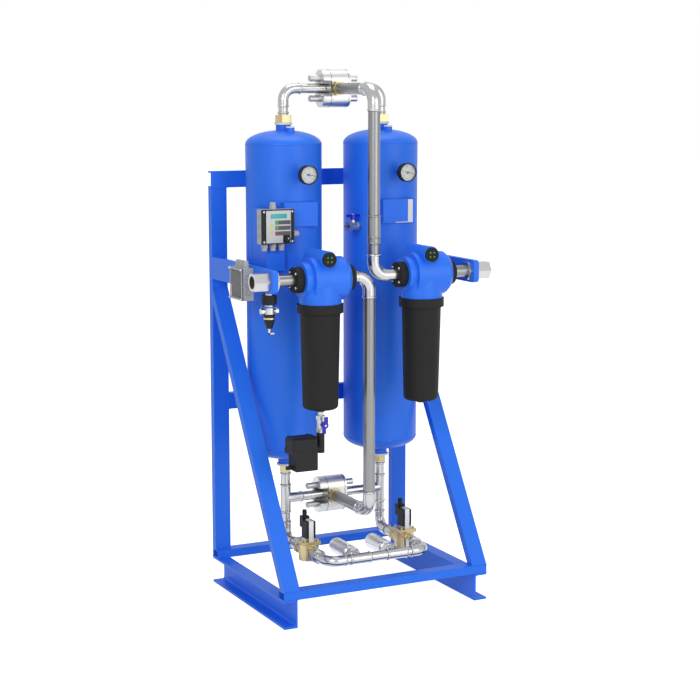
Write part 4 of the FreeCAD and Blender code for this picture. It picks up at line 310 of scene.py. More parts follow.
def close_tree(group, entry, leaving, copies):
    """Ends a tree: the copies made real and given their finish."""
    real = group.nodes.new("GeometryNodeRealizeInstances")
    paint = group.nodes.new("GeometryNodeSetMaterial")
    group.links.new(copies, real.inputs["Geometry"])
    group.links.new(real.outputs["Geometry"], paint.inputs["Geometry"])
    group.links.new(entry.outputs["Finish"], paint.inputs["Material"])
    group.links.new(paint.outputs["Geometry"], leaving.inputs["Result"])


def grown(name, group, start, settings, finish):
    """The plain mesh that a tree makes of points and lines, with its inputs set by identifier."""
    points, lines = start
    mesh = bpy.data.meshes.new(name + "_start")
    mesh.from_pydata([Vector(point) for point in points], lines, [])
    holder = bpy.data.objects.new(name + "_start", mesh)
    bpy.context.scene.collection.objects.link(holder)
    grow = holder.modifiers.new("grow", "NODES")
    grow.node_group = group
    sockets = {item.name: item.identifier for item in group.interface.items_tree
               if item.item_type == "SOCKET" and item.in_out == "INPUT"}
    for title, amount in {**settings, "Finish": finish}.items():
        grow[sockets[title]] = amount
    ready = holder.evaluated_get(bpy.context.evaluated_depsgraph_get())
    made = bpy.data.meshes.new_from_object(ready)
    holder.modifiers.remove(grow)
    bpy.data.objects.remove(holder)
    return made


# Weld beads: small overlapping drops along a line, each a little different.
weld, weld_in, weld_out = growing_tree("weld_bead", ("Drop", "Spacing"), ("Seed",))
line = weld.nodes.new("GeometryNodeMeshToCurve")
steps = weld.nodes.new("GeometryNodeResampleCurve")
steps.mode = "LENGTH"
drop = weld.nodes.new("GeometryNodeMeshUVSphere")
drop.inputs["Segments"].default_value = 8
drop.inputs["Rings"].default_value = 5
vary = weld.nodes.new("FunctionNodeRandomValue")
vary.inputs[2].default_value, vary.inputs[3].default_value = 0.85, 1.15
lay = weld.nodes.new("GeometryNodeInstanceOnPoints")
weld.links.new(weld_in.outputs["Start"], line.inputs["Mesh"])
weld.links.new(line.outputs["Curve"], steps.inputs["Curve"])
weld.links.new(weld_in.outputs["Spacing"], steps.inputs["Length"])
weld.links.new(weld_in.outputs["Drop"], drop.inputs["Radius"])
weld.links.new(weld_in.outputs["Seed"], vary.inputs["Seed"])
weld.links.new(steps.outputs["Curve"], lay.inputs["Points"])
weld.links.new(drop.outputs["Mesh"], lay.inputs["Instance"])
weld.links.new(vary.outputs[1], lay.inputs["Scale"])
close_tree(weld, weld_in, weld_out, lay.outputs["Instances"])


def runs(*lines):
    """Points and edges of open lines for a tree."""
    points, joins = [], []
    for line in lines:
        joins += [(len(points) + i, len(points) + i + 1) for i in range(len(line) - 1)]
        points += line
    return points, joins


half_width, half_depth, post_front = 402.5, 325, 295
foot_flange, tube_depth, post_width, arm_thick = 50, 50, 60, 20
foot_top, tube_top, lower_beam, top_beam, arm_edges = 100, 130, (661, 721), 1480, (1150, 1230)
seams = []
for side in (-1, 1):
    outer, foot_edge = side * half_width, side * (half_width - foot_flange)
    post_edge, arm_face = side * (half_width - post_width), side * (half_width - arm_thick)
    for y in (-half_depth, tube_depth - half_depth, half_depth - tube_depth, half_depth):
        seams.append([(outer, y, foot_top), (foot_edge, y, foot_top)])
    for y in (-half_depth, post_front):
        seams.append([(outer, y, tube_top), (post_edge, y, tube_top)])
    seams.append([(post_edge, y, tube_top) for y in (-half_depth, tube_depth - half_depth)])
    seams.append([(post_edge, post_front, level) for level in lower_beam])
    seams.append([(outer, post_front, top_beam), (post_edge, post_front, top_beam)])
    seams.append([(arm_face, post_front, level) for level in arm_edges])
settle("frame_welds", grown("frame_welds", weld, runs(*seams),
                            {"Drop": 1.9, "Spacing": 2.6, "Seed": 3}, frame_paint),
       (0, 0, 0), "up", frame_paint)

# Towers: rolled and welded steel vessels with dished ends and bolted lugs at the back, filled
# with desiccant beads between two screens, and painted in the frame's blue made a little darker,
# as painted shade. Plated bolts hold the lugs on the cross beams.
# The vessel paint is the frame's blue darkened a little: painted shade.
vessel_paint = coated("vessel_paint", (0.017, 0.166, 0.85), 0.42, cloudiness=(2.5, 0.08),
                      fine=(260.0, 0.8), edge=0.002, wear_and_highlight=0.2, shine=0.35)
dress(vessel_paint, "vessel_left", "vessel_right")
beads = coated("desiccant", (0.8, 0.78, 0.72), 0.7, cloudiness=(180.0, 0.4), fine=(200.0, 4.0))
dress(beads, "desiccant_beds")
zinc = coated("zinc_plating", (0.50, 0.51, 0.52), 0.36, cloudiness=(60.0, 0.12), fine=(700.0, 0.3),
              edge=0.0006, wear_and_highlight=0.3, metallic=1.0)
dress(zinc, "bed_screens", "lug_bolts")

towers = {"left": -195, "right": 195}
tower_y, tower_radius, shell_ends = 118, 136.5, (550, 1640)
round_way = [math.tau * i / 96 for i in range(97)]
rings = [[(x + (tower_radius - 0.4) * math.cos(way), tower_y + (tower_radius - 0.4) * math.sin(way),
           level) for way in round_way] for x in towers.values() for level in shell_ends]
settle("tower_seams", grown("tower_seams", weld, runs(*rings),
                            {"Drop": 1.2, "Spacing": 1.9, "Seed": 5}, vessel_paint),
       (0, 0, 0), "up", vessel_paint)

# Fill plugs: caps moulded in white plastic, screwed into the bosses on top of the towers. The key's
# hexagon socket is a shallow black disc that paints the shade of its recess, with a raised rim
# round it.
white_plastic = coated("white_plastic", (0.74, 0.74, 0.72), 0.5, edge=0.0008, wear_and_highlight=0.1)
dress(white_plastic, "fill_plugs")
black_plastic = coated("black_plastic", (0.009, 0.009, 0.010), 0.55, edge=0.001, wear_and_highlight=0.2,
                       fine=(650.0, 1.0), shine=0.25)


def turned(profile, sides=48, ring=False):
    """A mesh of revolution about +Z from radius and height pairs. A ring's profile is a loop."""
    shape = bmesh.new()
    rows = []
    for radius, height in profile:
        if radius < 1e-6:
            rows.append([shape.verts.new((0, 0, height))])
        else:
            rows.append([shape.verts.new((radius * math.cos(math.tau * i / sides),
                                          radius * math.sin(math.tau * i / sides), height))
                         for i in range(sides)])
    pairs = list(zip(rows, rows[1:]))
    if ring:
        pairs.append((rows[-1], rows[0]))
    for low, high in pairs:
        for i in range(sides):
            j = (i + 1) % sides
            if len(low) > 1 and len(high) > 1:
                shape.faces.new((low[i], low[j], high[j], high[i]))
            elif len(low) > 1:
                shape.faces.new((low[i], low[j], high[0]))
            elif len(high) > 1:
                shape.faces.new((low[0], high[j], high[i]))
    mesh = bpy.data.meshes.new("turned")
    shape.to_mesh(mesh)
    shape.free()
    return mesh


plug_y, plug_top = 58, 1703
key_socket = [(0, -1.5), (6.6, -1.5), (6.6, 0.5), (5.4, 0.9), (4.6, 0.4), (0, 0.2)]
plug_rim = [(12.4, -0.5), (14.8, -0.5), (14.8, 0.4), (13.6, 1.0), (12.4, 0.6)]
for side, x in towers.items():
    # A black hexagon disc stands for the socket's recess: painted shade.
    settle("plug_socket_shade_" + side, turned(key_socket, 6), (x, plug_y, plug_top), "up", black_plastic)
    settle("plug_rim_" + side, turned(plug_rim, ring=True), (x, plug_y, plug_top), "up",
           white_plastic)

# Tower nozzles: turned brass nipples with a hexagon, screwed into the vessels' nozzles over seal
# rings of white plastic. The same nipples join the valves to the large pipes.
brass = coated("turned_brass", (0.56, 0.46, 0.25), 0.32, cloudiness=(40.0, 0.12), fine=(900.0, 0.3),
               edge=0.0008, wear_and_highlight=0.4, metallic=1.0)
dress(brass, "brass_nipples")
dress(white_plastic, "nozzle_rings")

# Tower pressure gauges: black cases with a snapped-in bezel, a printed white dial of 0 to 16, a
# black pointer on a pivot and a clear window. A stem at the back is screwed into the tower.
dress(black_plastic, "gauge_cases")
dial_white = coated("dial_white", (0.60, 0.60, 0.59), 0.6, edge=0.0004, wear_and_highlight=0.0)
dress(dial_white, "gauge_dials")
pointer_black = coated("pointer_black", (0.012, 0.012, 0.012), 0.5, edge=0.0003, wear_and_highlight=0.1)
dress(pointer_black, "pointer_left", "pointer_right")


def clear_sheet(name, tint, roughness, cover):
    """Thin clear plastic or glass, faintly scratched, that hides a share of what is behind."""
    finish = bpy.data.materials.new(name)
    finish.use_nodes = True
    tree = finish.node_tree
    shader = tree.nodes["Principled BSDF"]
    shader.inputs["Base Color"].default_value = (*tint, 1)
    tone = tree.nodes.new("ShaderNodeGroup")
    tone.node_tree = cloud
    tone.inputs["Scale"].default_value, tone.inputs["Amount"].default_value = 30.0, 1.0
    gloss = tree.nodes.new("ShaderNodeMapRange")
    gloss.inputs["To Min"].default_value = roughness * 0.5
    gloss.inputs["To Max"].default_value = roughness * 1.5
    veil = tree.nodes.new("ShaderNodeMapRange")
    veil.inputs["To Min"].default_value = cover * 0.8
    veil.inputs["To Max"].default_value = cover * 1.2
    tree.links.new(tone.outputs["Factor"], gloss.inputs["Value"])
    tree.links.new(gloss.outputs["Result"], shader.inputs["Roughness"])
    tree.links.new(tone.outputs["Factor"], veil.inputs["Value"])
    tree.links.new(veil.outputs["Result"], shader.inputs["Alpha"])
    return finish


window = clear_sheet("clear_window", (0.90, 0.92, 0.93), 0.04, 0.08)
dress(window, "gauge_windows")

# Bars in an arc: the strokes of a dial, or the ribs of a grip. Angles run clockwise from the top.
arc, arc_in, arc_out = growing_tree(
    "bars_in_an_arc", ("Radius", "Start Angle", "Step Angle", "Length", "Width", "Height"),
    ("Count",))
spots = arc.nodes.new("GeometryNodePoints")
number = arc.nodes.new("GeometryNodeInputIndex")
angle = arithmetic(arc, "MULTIPLY_ADD", number.outputs[0], arc_in.outputs["Step Angle"])
arc.links.new(arc_in.outputs["Start Angle"], angle.node.inputs[2])
spot = arc.nodes.new("ShaderNodeCombineXYZ")
arc.links.new(arithmetic(arc, "MULTIPLY", arithmetic(arc, "SINE", angle, 0.0),
                         arc_in.outputs["Radius"]), spot.inputs["X"])
arc.links.new(arithmetic(arc, "MULTIPLY", arithmetic(arc, "COSINE", angle, 0.0),
                         arc_in.outputs["Radius"]), spot.inputs["Y"])
arc.links.new(arithmetic(arc, "MULTIPLY", arc_in.outputs["Height"], 0.5), spot.inputs["Z"])
bar = arc.nodes.new("GeometryNodeMeshCube")
bar_size = arc.nodes.new("ShaderNodeCombineXYZ")
for side, title in zip("XYZ", ("Width", "Length", "Height")):
    arc.links.new(arc_in.outputs[title], bar_size.inputs[side])
turn_bar = arc.nodes.new("ShaderNodeCombineXYZ")
arc.links.new(arithmetic(arc, "MULTIPLY", angle, -1.0), turn_bar.inputs["Z"])
set_bars = arc.nodes.new("GeometryNodeInstanceOnPoints")
arc.links.new(arc_in.outputs["Count"], spots.inputs["Count"])
arc.links.new(spot.outputs[0], spots.inputs["Position"])
arc.links.new(bar_size.outputs[0], bar.inputs["Size"])
arc.links.new(spots.outputs[0], set_bars.inputs["Points"])
arc.links.new(bar.outputs["Mesh"], set_bars.inputs["Instance"])
arc.links.new(turn_bar.outputs[0], set_bars.inputs["Rotation"])
close_tree(arc, arc_in, arc_out, set_bars.outputs["Instances"])


def bars(name, finish, count, radius, start, step, length, width, height):
    """The mesh of bars in an arc. Angles are in degrees."""
    return grown(name, arc, ([(0, 0, 0)], []), {
        "Radius": float(radius), "Start Angle": math.radians(start),
        "Step Angle": math.radians(step), "Length": float(length), "Width": float(width),
        "Height": float(height), "Count": count}, finish)


def joined(name, *meshes):
    """One mesh of several."""
    shape = bmesh.new()
    for mesh in meshes:
        shape.from_mesh(mesh)
        bpy.data.meshes.remove(mesh)
    whole = bpy.data.meshes.new(name)
    shape.to_mesh(whole)
    shape.free()
    return whole


def numeral(text, height, x, y):
    """A printed number, flat, with its middle at x and y."""
    curve = bpy.data.curves.new("numeral", "FONT")
    curve.body, curve.size, curve.resolution_u = text, height / 0.7, 3
    curve.align_x, curve.align_y = "CENTER", "CENTER"
    holder = bpy.data.objects.new("numeral", curve)
    bpy.context.scene.collection.objects.link(holder)
    mesh = bpy.data.meshes.new_from_object(
        holder.evaluated_get(bpy.context.evaluated_depsgraph_get()))
    bpy.data.objects.remove(holder)
    mesh.transform(Matrix.Translation((x, y, 0.06)))
    return mesh


gauge_level, gauge_front, dial_front, print_thick = 1540, -98.5, -91.5, 0.08
dial_start, dial_sweep, dial_end, dial_step = -135, 270, 16, 4
numeral_height, numeral_radius = 4.6, 18.6
bezel = [(30.2, -0.4), (30.4, 0.7), (31.4, 1.5), (32.6, 1.3), (33.5, 0.3), (33.6, -6.0),
         (33.05, -6.4), (33.05, -0.2)]
pointer_cap = [(0, 0.0), (4.6, 0.0), (4.6, 0.7), (3.6, 1.3), (1.4, 1.6), (0, 1.65)]
case_seam = [(33.0, -17.2), (33.35, -17.0), (33.35, -15.6), (33.0, -15.4)]
for side, x in towers.items():
    marks = [bars("strokes", pointer_black, count, radius, dial_start, dial_sweep / (count - 1),
                  length, width, print_thick)
             for count, radius, length, width in (
                 (17, 25.5, 4.6, 0.8), (81, 26.8, 2.0, 0.35), (91, 27.9, 0.4, 1.5))]
    for value in range(0, dial_end + 1, dial_step):
        way = math.radians(dial_start + dial_sweep * value / dial_end)
        marks.append(numeral(str(value), numeral_height, numeral_radius * math.sin(way),
                             numeral_radius * math.cos(way)))
    settle("gauge_scale_" + side, joined("gauge_scale", *marks), (x, dial_front, gauge_level),
           "front", pointer_black)
    settle("gauge_bezel_" + side, turned(bezel, 72, ring=True), (x, gauge_front, gauge_level),
           "front", black_plastic)
    settle("pointer_cap_" + side, turned(pointer_cap, 32), (x, dial_front - 1.6, gauge_level),
           "front", pointer_black, "gauge_pointer_" + side)
    settle("gauge_seam_" + side, turned(case_seam, 72, ring=True), (x, gauge_front, gauge_level),
           "front", black_plastic)

# Shuttle valves: flat-sided aluminium bodies with an end cap at each side, held by two long plated
# tie bolts with sleeved ends. A dark gasket shows where each cap meets the body, and a white
# plastic shuttle slides inside.
valve_metal = coated("valve_metal", (0.60, 0.60, 0.595), 0.34, cloudiness=(20.0, 0.08),
                     fine=(900.0, 0.5), edge=0.0012, wear_and_highlight=0.4, metallic=1.0)
dress(valve_metal, "valve_bodies", "valve_caps")
dress(zinc, "valve_tie_bolts")
dress(white_plastic, "shuttle_top", "shuttle_bottom")
gasket = coated("gasket_rubber", (0.03, 0.03, 0.032), 0.7, fine=(500.0, 1.0), edge=0.0003)
valves = (("top", 2, 1836), ("bottom", -16, 345))
valve_width, valve_height = 77, 135
cap_joints, tie_lift, sleeve_ends, bolt_reach = (-23, 46), 36, (-90, -62, 58, 90), 94


def rounded(width, height, corner, steps=6, grow=0.0):
    """The outline of a rounded rectangle round the origin, as points in order."""
    reach_x, reach_y, corner = width / 2 + grow, height / 2 + grow, corner + grow
    points = []
    for quarter, (sx, sy) in enumerate(((1, 1), (-1, 1), (-1, -1), (1, -1))):
        for i in range(steps + 1):
            way = math.pi / 2 * (quarter + i / steps)
            points.append((sx * (reach_x - corner) + corner * math.cos(way),
                           sy * (reach_y - corner) + corner * math.sin(way)))
    return points


def band(outer, inner, low, high):
    """A flat ring between two outlines with as many points, from one height to another."""
    shape = bmesh.new()
    rows = [[shape.verts.new((x, y, z)) for x, y in outline]
            for outline, z in ((outer, low), (outer, high), (inner, high), (inner, low))]
    for row, after in zip(rows, rows[1:] + rows[:1]):
        for i in range(len(row)):
            j = (i + 1) % len(row)
            shape.faces.new((row[i], row[j], after[j], after[i]))
    mesh = bpy.data.meshes.new("band")
    shape.to_mesh(mesh)
    shape.free()
    return mesh


stadium = (valve_width, valve_height, valve_width / 2 - 0.01, 16)
for name, valve_x, level in valves:
    for number, joint in enumerate(cap_joints):
        settle("valve_gasket_%s_%d" % (name, number + 1),
               band(rounded(*stadium, 0.25), rounded(*stadium, -2.0), -0.8, 0.8),
               (valve_x + joint, tower_y, level), "right", gasket)

# Rings on a line: seal lips and grooves, all with one radius, each square to its own +Z.
hoop, hoop_in, hoop_out = growing_tree("rings_on_points", ("Radius", "Bead"))
path = hoop.nodes.new("GeometryNodeCurvePrimitiveCircle")
path.inputs["Resolution"].default_value = 40
round_bead = hoop.nodes.new("GeometryNodeCurvePrimitiveCircle")
round_bead.inputs["Resolution"].default_value = 8
tube = hoop.nodes.new("GeometryNodeCurveToMesh")
set_rings = hoop.nodes.new("GeometryNodeInstanceOnPoints")
hoop.links.new(hoop_in.outputs["Radius"], path.inputs["Radius"])
hoop.links.new(hoop_in.outputs["Bead"], round_bead.inputs["Radius"])
hoop.links.new(path.outputs["Curve"], tube.inputs["Curve"])
hoop.links.new(round_bead.outputs["Curve"], tube.inputs["Profile Curve"])
hoop.links.new(hoop_in.outputs["Start"], set_rings.inputs["Points"])
hoop.links.new(tube.outputs["Mesh"], set_rings.inputs["Instance"])
close_tree(hoop, hoop_in, hoop_out, set_rings.outputs["Instances"])


def hoops(name, points, facing, radius, bead, finish, body="root"):
    """Rings at points given on the dryer, all facing one way."""
    turn = Matrix(facings[facing])
    local = [turn @ Vector(point) for point in points]
    mesh = grown(name, hoop, (local, []), {"Radius": radius, "Bead": bead}, finish)
    return settle(name, mesh, (0, 0, 0), facing, finish, body)


hoops("tie_sleeve_rings", [(valve_x + end, tower_y, level + lift) for _, valve_x, level in valves
                           for end in sleeve_ends for lift in (-tie_lift, tie_lift)],
      "right", 11.6, 0.7, zinc)

# Screw heads: turned heads with a recess for the key, standing on points and facing their own +Z.
heads, heads_in, heads_out = growing_tree(
    "screw_heads", ("Head Radius", "Head Height", "Recess Radius", "Recess Depth"), ("Sides",))
upwards = heads.nodes.new("ShaderNodeCombineXYZ")
upwards.inputs["Z"].default_value = 1.0
disc = heads.nodes.new("GeometryNodeMeshCircle")
disc.fill_type = "NGON"
heads.links.new(heads_in.outputs["Head Radius"], disc.inputs["Radius"])
heads.links.new(heads_in.outputs["Sides"], disc.inputs["Vertices"])
wall = arithmetic(heads, "MULTIPLY", heads_in.outputs["Head Height"], 0.7)
crown = arithmetic(heads, "MULTIPLY", heads_in.outputs["Head Height"], 0.3)
sink = arithmetic(heads, "MULTIPLY", heads_in.outputs["Recess Depth"], -1.0)
recess = arithmetic(heads, "DIVIDE", heads_in.outputs["Recess Radius"],
                    arithmetic(heads, "MULTIPLY", heads_in.outputs["Head Radius"], 0.82))
solid, top = disc.outputs["Mesh"], None
for rise, shrink in ((wall, None), (crown, 0.82), (0.0, recess), (sink, None)):
    raise_top = heads.nodes.new("GeometryNodeExtrudeMesh")
    raise_top.mode = "FACES"
    raise_top.inputs["Individual"].default_value = False
    heads.links.new(solid, raise_top.inputs["Mesh"])
    heads.links.new(upwards.outputs[0], raise_top.inputs["Offset"])
    if top is not None:
        heads.links.new(top, raise_top.inputs["Selection"])
    if isinstance(rise, float):
        raise_top.inputs["Offset Scale"].default_value = rise
    else:
        heads.links.new(rise, raise_top.inputs["Offset Scale"])
    solid, top = raise_top.outputs["Mesh"], raise_top.outputs["Top"]
    if shrink is not None:
        narrow = heads.nodes.new("GeometryNodeScaleElements")
        heads.links.new(solid, narrow.inputs["Geometry"])
        heads.links.new(top, narrow.inputs["Selection"])
        if isinstance(shrink, float):
            narrow.inputs["Scale"].default_value = shrink
        else:
            heads.links.new(shrink, narrow.inputs["Scale"])
        solid = narrow.outputs["Geometry"]
seat = heads.nodes.new("GeometryNodeJoinGeometry")
heads.links.new(solid, seat.inputs["Geometry"])
heads.links.new(disc.outputs["Mesh"], seat.inputs["Geometry"])
set_heads = heads.nodes.new("GeometryNodeInstanceOnPoints")
heads.links.new(heads_in.outputs["Start"], set_heads.inputs["Points"])
heads.links.new(seat.outputs["Geometry"], set_heads.inputs["Instance"])
close_tree(heads, heads_in, heads_out, set_heads.outputs["Instances"])


def screws(name, points, facing, radius, height, recess, depth, finish, body="root",
           sides=20):
    """Screw heads at points given on the dryer, all facing one way."""
    turn = Matrix(facings[facing])
    local = [turn @ Vector(point) for point in points]
    mesh = grown(name, heads, (local, []), {
        "Head Radius": radius, "Head Height": height, "Recess Radius": recess,
        "Recess Depth": depth, "Sides": sides}, finish)
    return settle(name, mesh, (0, 0, 0), facing, finish, body)


for name, valve_x, level in valves:
    for side, end in (("left", -bolt_reach), ("right", bolt_reach)):
        screws("tie_bolt_ends_%s_%s" % (name, side),
               [(valve_x + end, tower_y, level + lift) for lift in (-tie_lift, tie_lift)], side,
               6.0, 3.0, 3.2, 1.8, zinc)

# Press-fitted pipework: dull drawn stainless pipes with brighter elbows and tees, each mouth
# pressed over a seal ring that shows as a thin dark line where the pipe goes in.
stainless = coated("drawn_stainless", (0.24, 0.242, 0.245), 0.30, cloudiness=(9.0, 0.08),
                   fine=(1200.0, 0.2), edge=0.0008, wear_and_highlight=0.3, metallic=1.0)
dress(stainless, "main_pipes")
polished = coated("polished_stainless", (0.46, 0.462, 0.465), 0.22, cloudiness=(9.0, 0.08),
                  fine=(1200.0, 0.2), edge=0.0008, wear_and_highlight=0.3, metallic=1.0)
dress(polished, "tower_elbows", "main_elbows", "riser_tees", "tower_pipes", "exhaust_unions",
      "exhaust_manifold")
(_, top_x, top_line), (_, bottom_x, bottom_line) = valves
filter_line, port_level, exhaust_line, manifold_y, silencer_x = -205, 1190, 193, -247, 73
large_ring, small_ring, large_bead, small_bead = 21.7, 18.2, 0.55, 0.5
# From the middle of a fitting to the lip of its mouth.
large_mouth, small_mouth, riser_mouth, manifold_mouth = 77.4, 66.4, 54.4, 41.4
coupling_mouths = (1299.6, 1403.4)
hoops("seal_lips_large_upright",
      [(top_x, filter_line, level)
       for level in (top_line - large_mouth, port_level + large_mouth, *coupling_mouths)]
      + [(bottom_x, filter_line, level)
         for level in (port_level - large_mouth, bottom_line + large_mouth)],
      "up", large_ring, large_bead, gasket)
hoops("seal_lips_large_deep",
      [(x, filter_line + large_mouth, level) for _, x, level in valves],
      "front", large_ring, large_bead, gasket)
hoops("seal_lips_small_upright",
      [(x, tower_y, level) for x in towers.values()
       for level in (exhaust_line + small_mouth, bottom_line - riser_mouth,
                     bottom_line + riser_mouth)],
      "up", small_ring, small_bead, gasket)
hoops("seal_lips_small_deep",
      [(x, y, exhaust_line) for y in (tower_y - small_mouth, manifold_y + small_mouth)
       for x in towers.values()],
      "front", small_ring, small_bead, gasket)
hoops("seal_lips_small_across",
      [(side * reach, manifold_y, exhaust_line) for side in (-1, 1)
       for reach in (towers["right"] - small_mouth, silencer_x + manifold_mouth,
                     silencer_x - manifold_mouth)],
      "right", small_ring, small_bead, gasket)

# Inlet and outlet ports: hexagonal steel sockets locked on the arms. Their pipe threads are cut,
# and lined with a dark ridged sleeve that paints the shade inside the bore.
bright_steel = coated("bright_steel", (0.54, 0.54, 0.545), 0.3, cloudiness=(90.0, 0.1),
                      edge=0.0004, metallic=1.0)
dress(bright_steel, "port_sockets")
port_reach, thread_radii, thread_turns, thread_pitch = 461, (22.2, 21.3), 24, 1.15
thread = [(22.55, -29.5), (22.55, -1.0)]
thread += [(thread_radii[i % 2], -1.6 - i * thread_pitch) for i in range(thread_turns)]
thread.append((19.9, -29.5))
for side, x in (("left", -port_reach), ("right", port_reach)):
    # A dark sleeve in the bore: painted shade.
    settle("port_thread_shade_" + side, turned(thread, 56, ring=True), (x, filter_line, port_level),
           side, gasket)

# Exhaust solenoid valves: brass bodies with a screwed bonnet, a black moulded coil held by a bent
# strip of zinc-plated steel, a black plug with its cable gland, and a steel plunger inside.
dress(brass, "solenoid_bodies")
dress(zinc, "plunger_left", "plunger_right")
dress(black_plastic, "solenoid_coils", "coil_plugs")
coil_y, coil_top, bonnet_top, bonnet_corner = -80, 308, 239, 24
plug_middle, plug_back = -46, -33
plug_screw_level, plug_nut_low, plug_seams = 305, 326, (316.5, 324.5)
coil_nut = [(7.8, 0.1), (10.6, 0.1), (10.6, 2.6), (9.6, 3.4), (7.8, 3.4)]
for side, x in towers.items():
    settle("coil_nut_" + side, turned(coil_nut, 6, ring=True), (x, coil_y, coil_top), "up", zinc)
    screws("plug_screw_" + side, [(x, plug_back, plug_screw_level)], "back", 3.2, 1.8, 1.8, 1.0,
           zinc)
    settle("plug_nut_" + side, bars("plug_nut", black_plastic, 16, 8.0, 0, 22.5, 0.9, 1.2, 7.0),
           (x, plug_middle, plug_nut_low), "up", black_plastic)
    hoops("plug_seam_" + side, [(x, plug_middle, level) for level in plug_seams], "up", 8.2, 0.6,
          gasket)
    screws("bonnet_screws_" + side,
           [(x + across, coil_y + deep, bonnet_top) for across in (-bonnet_corner, bonnet_corner)
            for deep in (-bonnet_corner, bonnet_corner)],
           "up", 4.6, 3.0, 2.6, 1.8, zinc, sides=18)

# Exhaust silencers: drawn aluminium cases with rounded ends and a rolled line near each end. Each
# is screwed into its tee by a hexagonal foot.
aluminium = coated("drawn_aluminium", (0.70, 0.70, 0.71), 0.26, cloudiness=(8.0, 0.08),
                   fine=(900.0, 0.4), edge=0.001, wear_and_highlight=0.3, metallic=1.0)
dress(aluminium, "silencers")
silencer_rolls = (-165, -59)
hoops("silencer_rolls", [(x, y, exhaust_line) for x in (-silencer_x, silencer_x)
                         for y in silencer_rolls], "front", 28.3, 0.6, aluminium)

# Filters: cast and painted heads with black bowls below, black flanges at the ports, each with
# four bright screws, and a dark round indicator at the front with four green marks.
head_paint = coated("head_paint", bright_blue, 0.40, cloudiness=(12.0, 0.08), fine=(220.0, 2.0),
                    edge=0.0025, wear_and_highlight=0.25, shine=0.35)
dress(head_paint, "filter_heads")
bowl_black = coated("bowl_black", (0.011, 0.011, 0.011), 0.62, fine=(380.0, 1.2), edge=0.0015,
                    wear_and_highlight=0.3, shine=0.2)
dress(bowl_black, "filter_bowls", "filter_flanges", "filter_indicators")
pleats = coated("filter_paper", (0.8, 0.8, 0.76), 0.8)
dress(pleats, "filter_elements")
green_mark = coated("green_mark", (0.05, 0.42, 0.05), 0.45, edge=0.0003, wear_and_highlight=0.05)
filters = {"pre": -206, "after": 192}
flange_faces, screw_reach = (("left", -102), ("right", 120)), 34 * math.sqrt(0.5)
collar_edges = (1075, 1104.4)
indicator_front, indicator_level = -283, 1262
indicator_ring = [(21.5, 0.0), (25.2, 0.0), (25.2, 0.5), (24.2, 1.2), (22.6, 1.2), (21.5, 0.4)]
for name, x in filters.items():
    for side, face in flange_faces:
        screws("flange_screws_%s_%s" % (name, side),
               [(x + face, filter_line + deep, port_level + lift)
                for deep in (-screw_reach, screw_reach) for lift in (-screw_reach, screw_reach)],
               side, 4.6, 4.6, 2.4, 1.6, bright_steel)
    settle("indicator_ring_" + name, turned(indicator_ring, 56, ring=True),
           (x, indicator_front, indicator_level), "front", bowl_black)
    settle("indicator_marks_" + name, bars("mark", green_mark, 4, 10.5, 45, 90, 4.4, 4.4, 0.5),
           (x, indicator_front, indicator_level), "front", green_mark)
    hoops("bowl_seam_" + name, [(x, filter_line, level) for level in collar_edges], "up", 79.9, 0.7,
          bowl_black)

# Drain line: a small plated ball valve with a blue wing handle, and a black moulded level drain
# whose lid is held by four screws. A second valve of this kind takes samples at the right tower.
handle_blue = coated("handle_blue", (0.004, 0.004, 0.46), 0.4, edge=0.001, wear_and_highlight=0.2)
dress(handle_blue, "drain_lever", "sample_lever")
dress(zinc, "ball_valve_bodies", "drain_ball", "sample_ball")
dress(black_plastic, "level_drain")
drain_handle_at, sample_handle_at = (filters["pre"], -247, 683), (40.04, 33.51, 1387)
lid_level = 644.2
screws("drain_handle_screw", [drain_handle_at], "front", 4.0, 2.2, 2.0, 1.2,
       bright_steel, "drain_handle")
screws("sample_handle_screw", [sample_handle_at], "up", 4.0, 2.2, 2.0, 1.2, bright_steel,
       "sample_handle")
screws("drain_lid_screws", [(x, y, lid_level) for x in (-316, -244) for y in (-236, -174)], "up",
       3.4, 1.4, 1.8, 0.9, black_plastic)
hoops("ball_valve_grooves",
      [(filters["pre"], filter_line, level) for level in (656, 659, 707, 710)], "up", 14.1, 0.5,
      zinc)

# Pilot-air regulator: a plated body under the left arm with a ribbed black knob above, a black
# bowl with a brass ring below, and a bent steel barb at its tip.
dress(zinc, "regulator_body")
dress(black_plastic, "regulator_knob", "regulator_bowl")
reg_x, reg_y = -392.5, -193
ribs_low, brass_low, bands = 1114, 1060, (1077, 1056)
collar_low, barb_low, elbow_level = 1142.4, 1013, 1010
brass_ring = [(18.2, 0), (19.1, 0.5), (19.1, 6.0), (18.2, 6.5)]
collar = [(7.0, 0.0), (13.0, 0.0), (13.0, 5.6), (11.5, 7.4), (7.0, 7.4)]
barb = [(3.05, 0.0), (4.6, 1.5), (3.8, 5.0), (4.6, 6.5), (3.8, 10.0), (5.4, 11.5), (5.4, 15.0),
        (3.05, 15.0)]
elbow = [(0, 0), (3.4, 0), (3.4, 12.0), (4.2, 13.0), (4.2, 15.5), (2.2, 15.5), (2.2, 9.0), (0, 9.0)]
settle("knob_ribs", bars("knob_ribs", black_plastic, 12, 24.6, 0, 30, 2.6, 6.0, 24),
       (reg_x, reg_y, ribs_low), "up", black_plastic, "regulator_knob")
settle("bowl_brass_ring", turned(brass_ring, 56, ring=True), (reg_x, reg_y, brass_low), "up", brass)
hoops("bowl_bands", [(reg_x, reg_y, level) for level in bands], "up", 18.6, 0.7, black_plastic)
settle("knob_collar", turned(collar, 40, ring=True), (reg_x, reg_y, collar_low), "up", zinc)
settle("bowl_barb", turned(barb, 28, ring=True), (reg_x, reg_y, barb_low), "up", zinc)
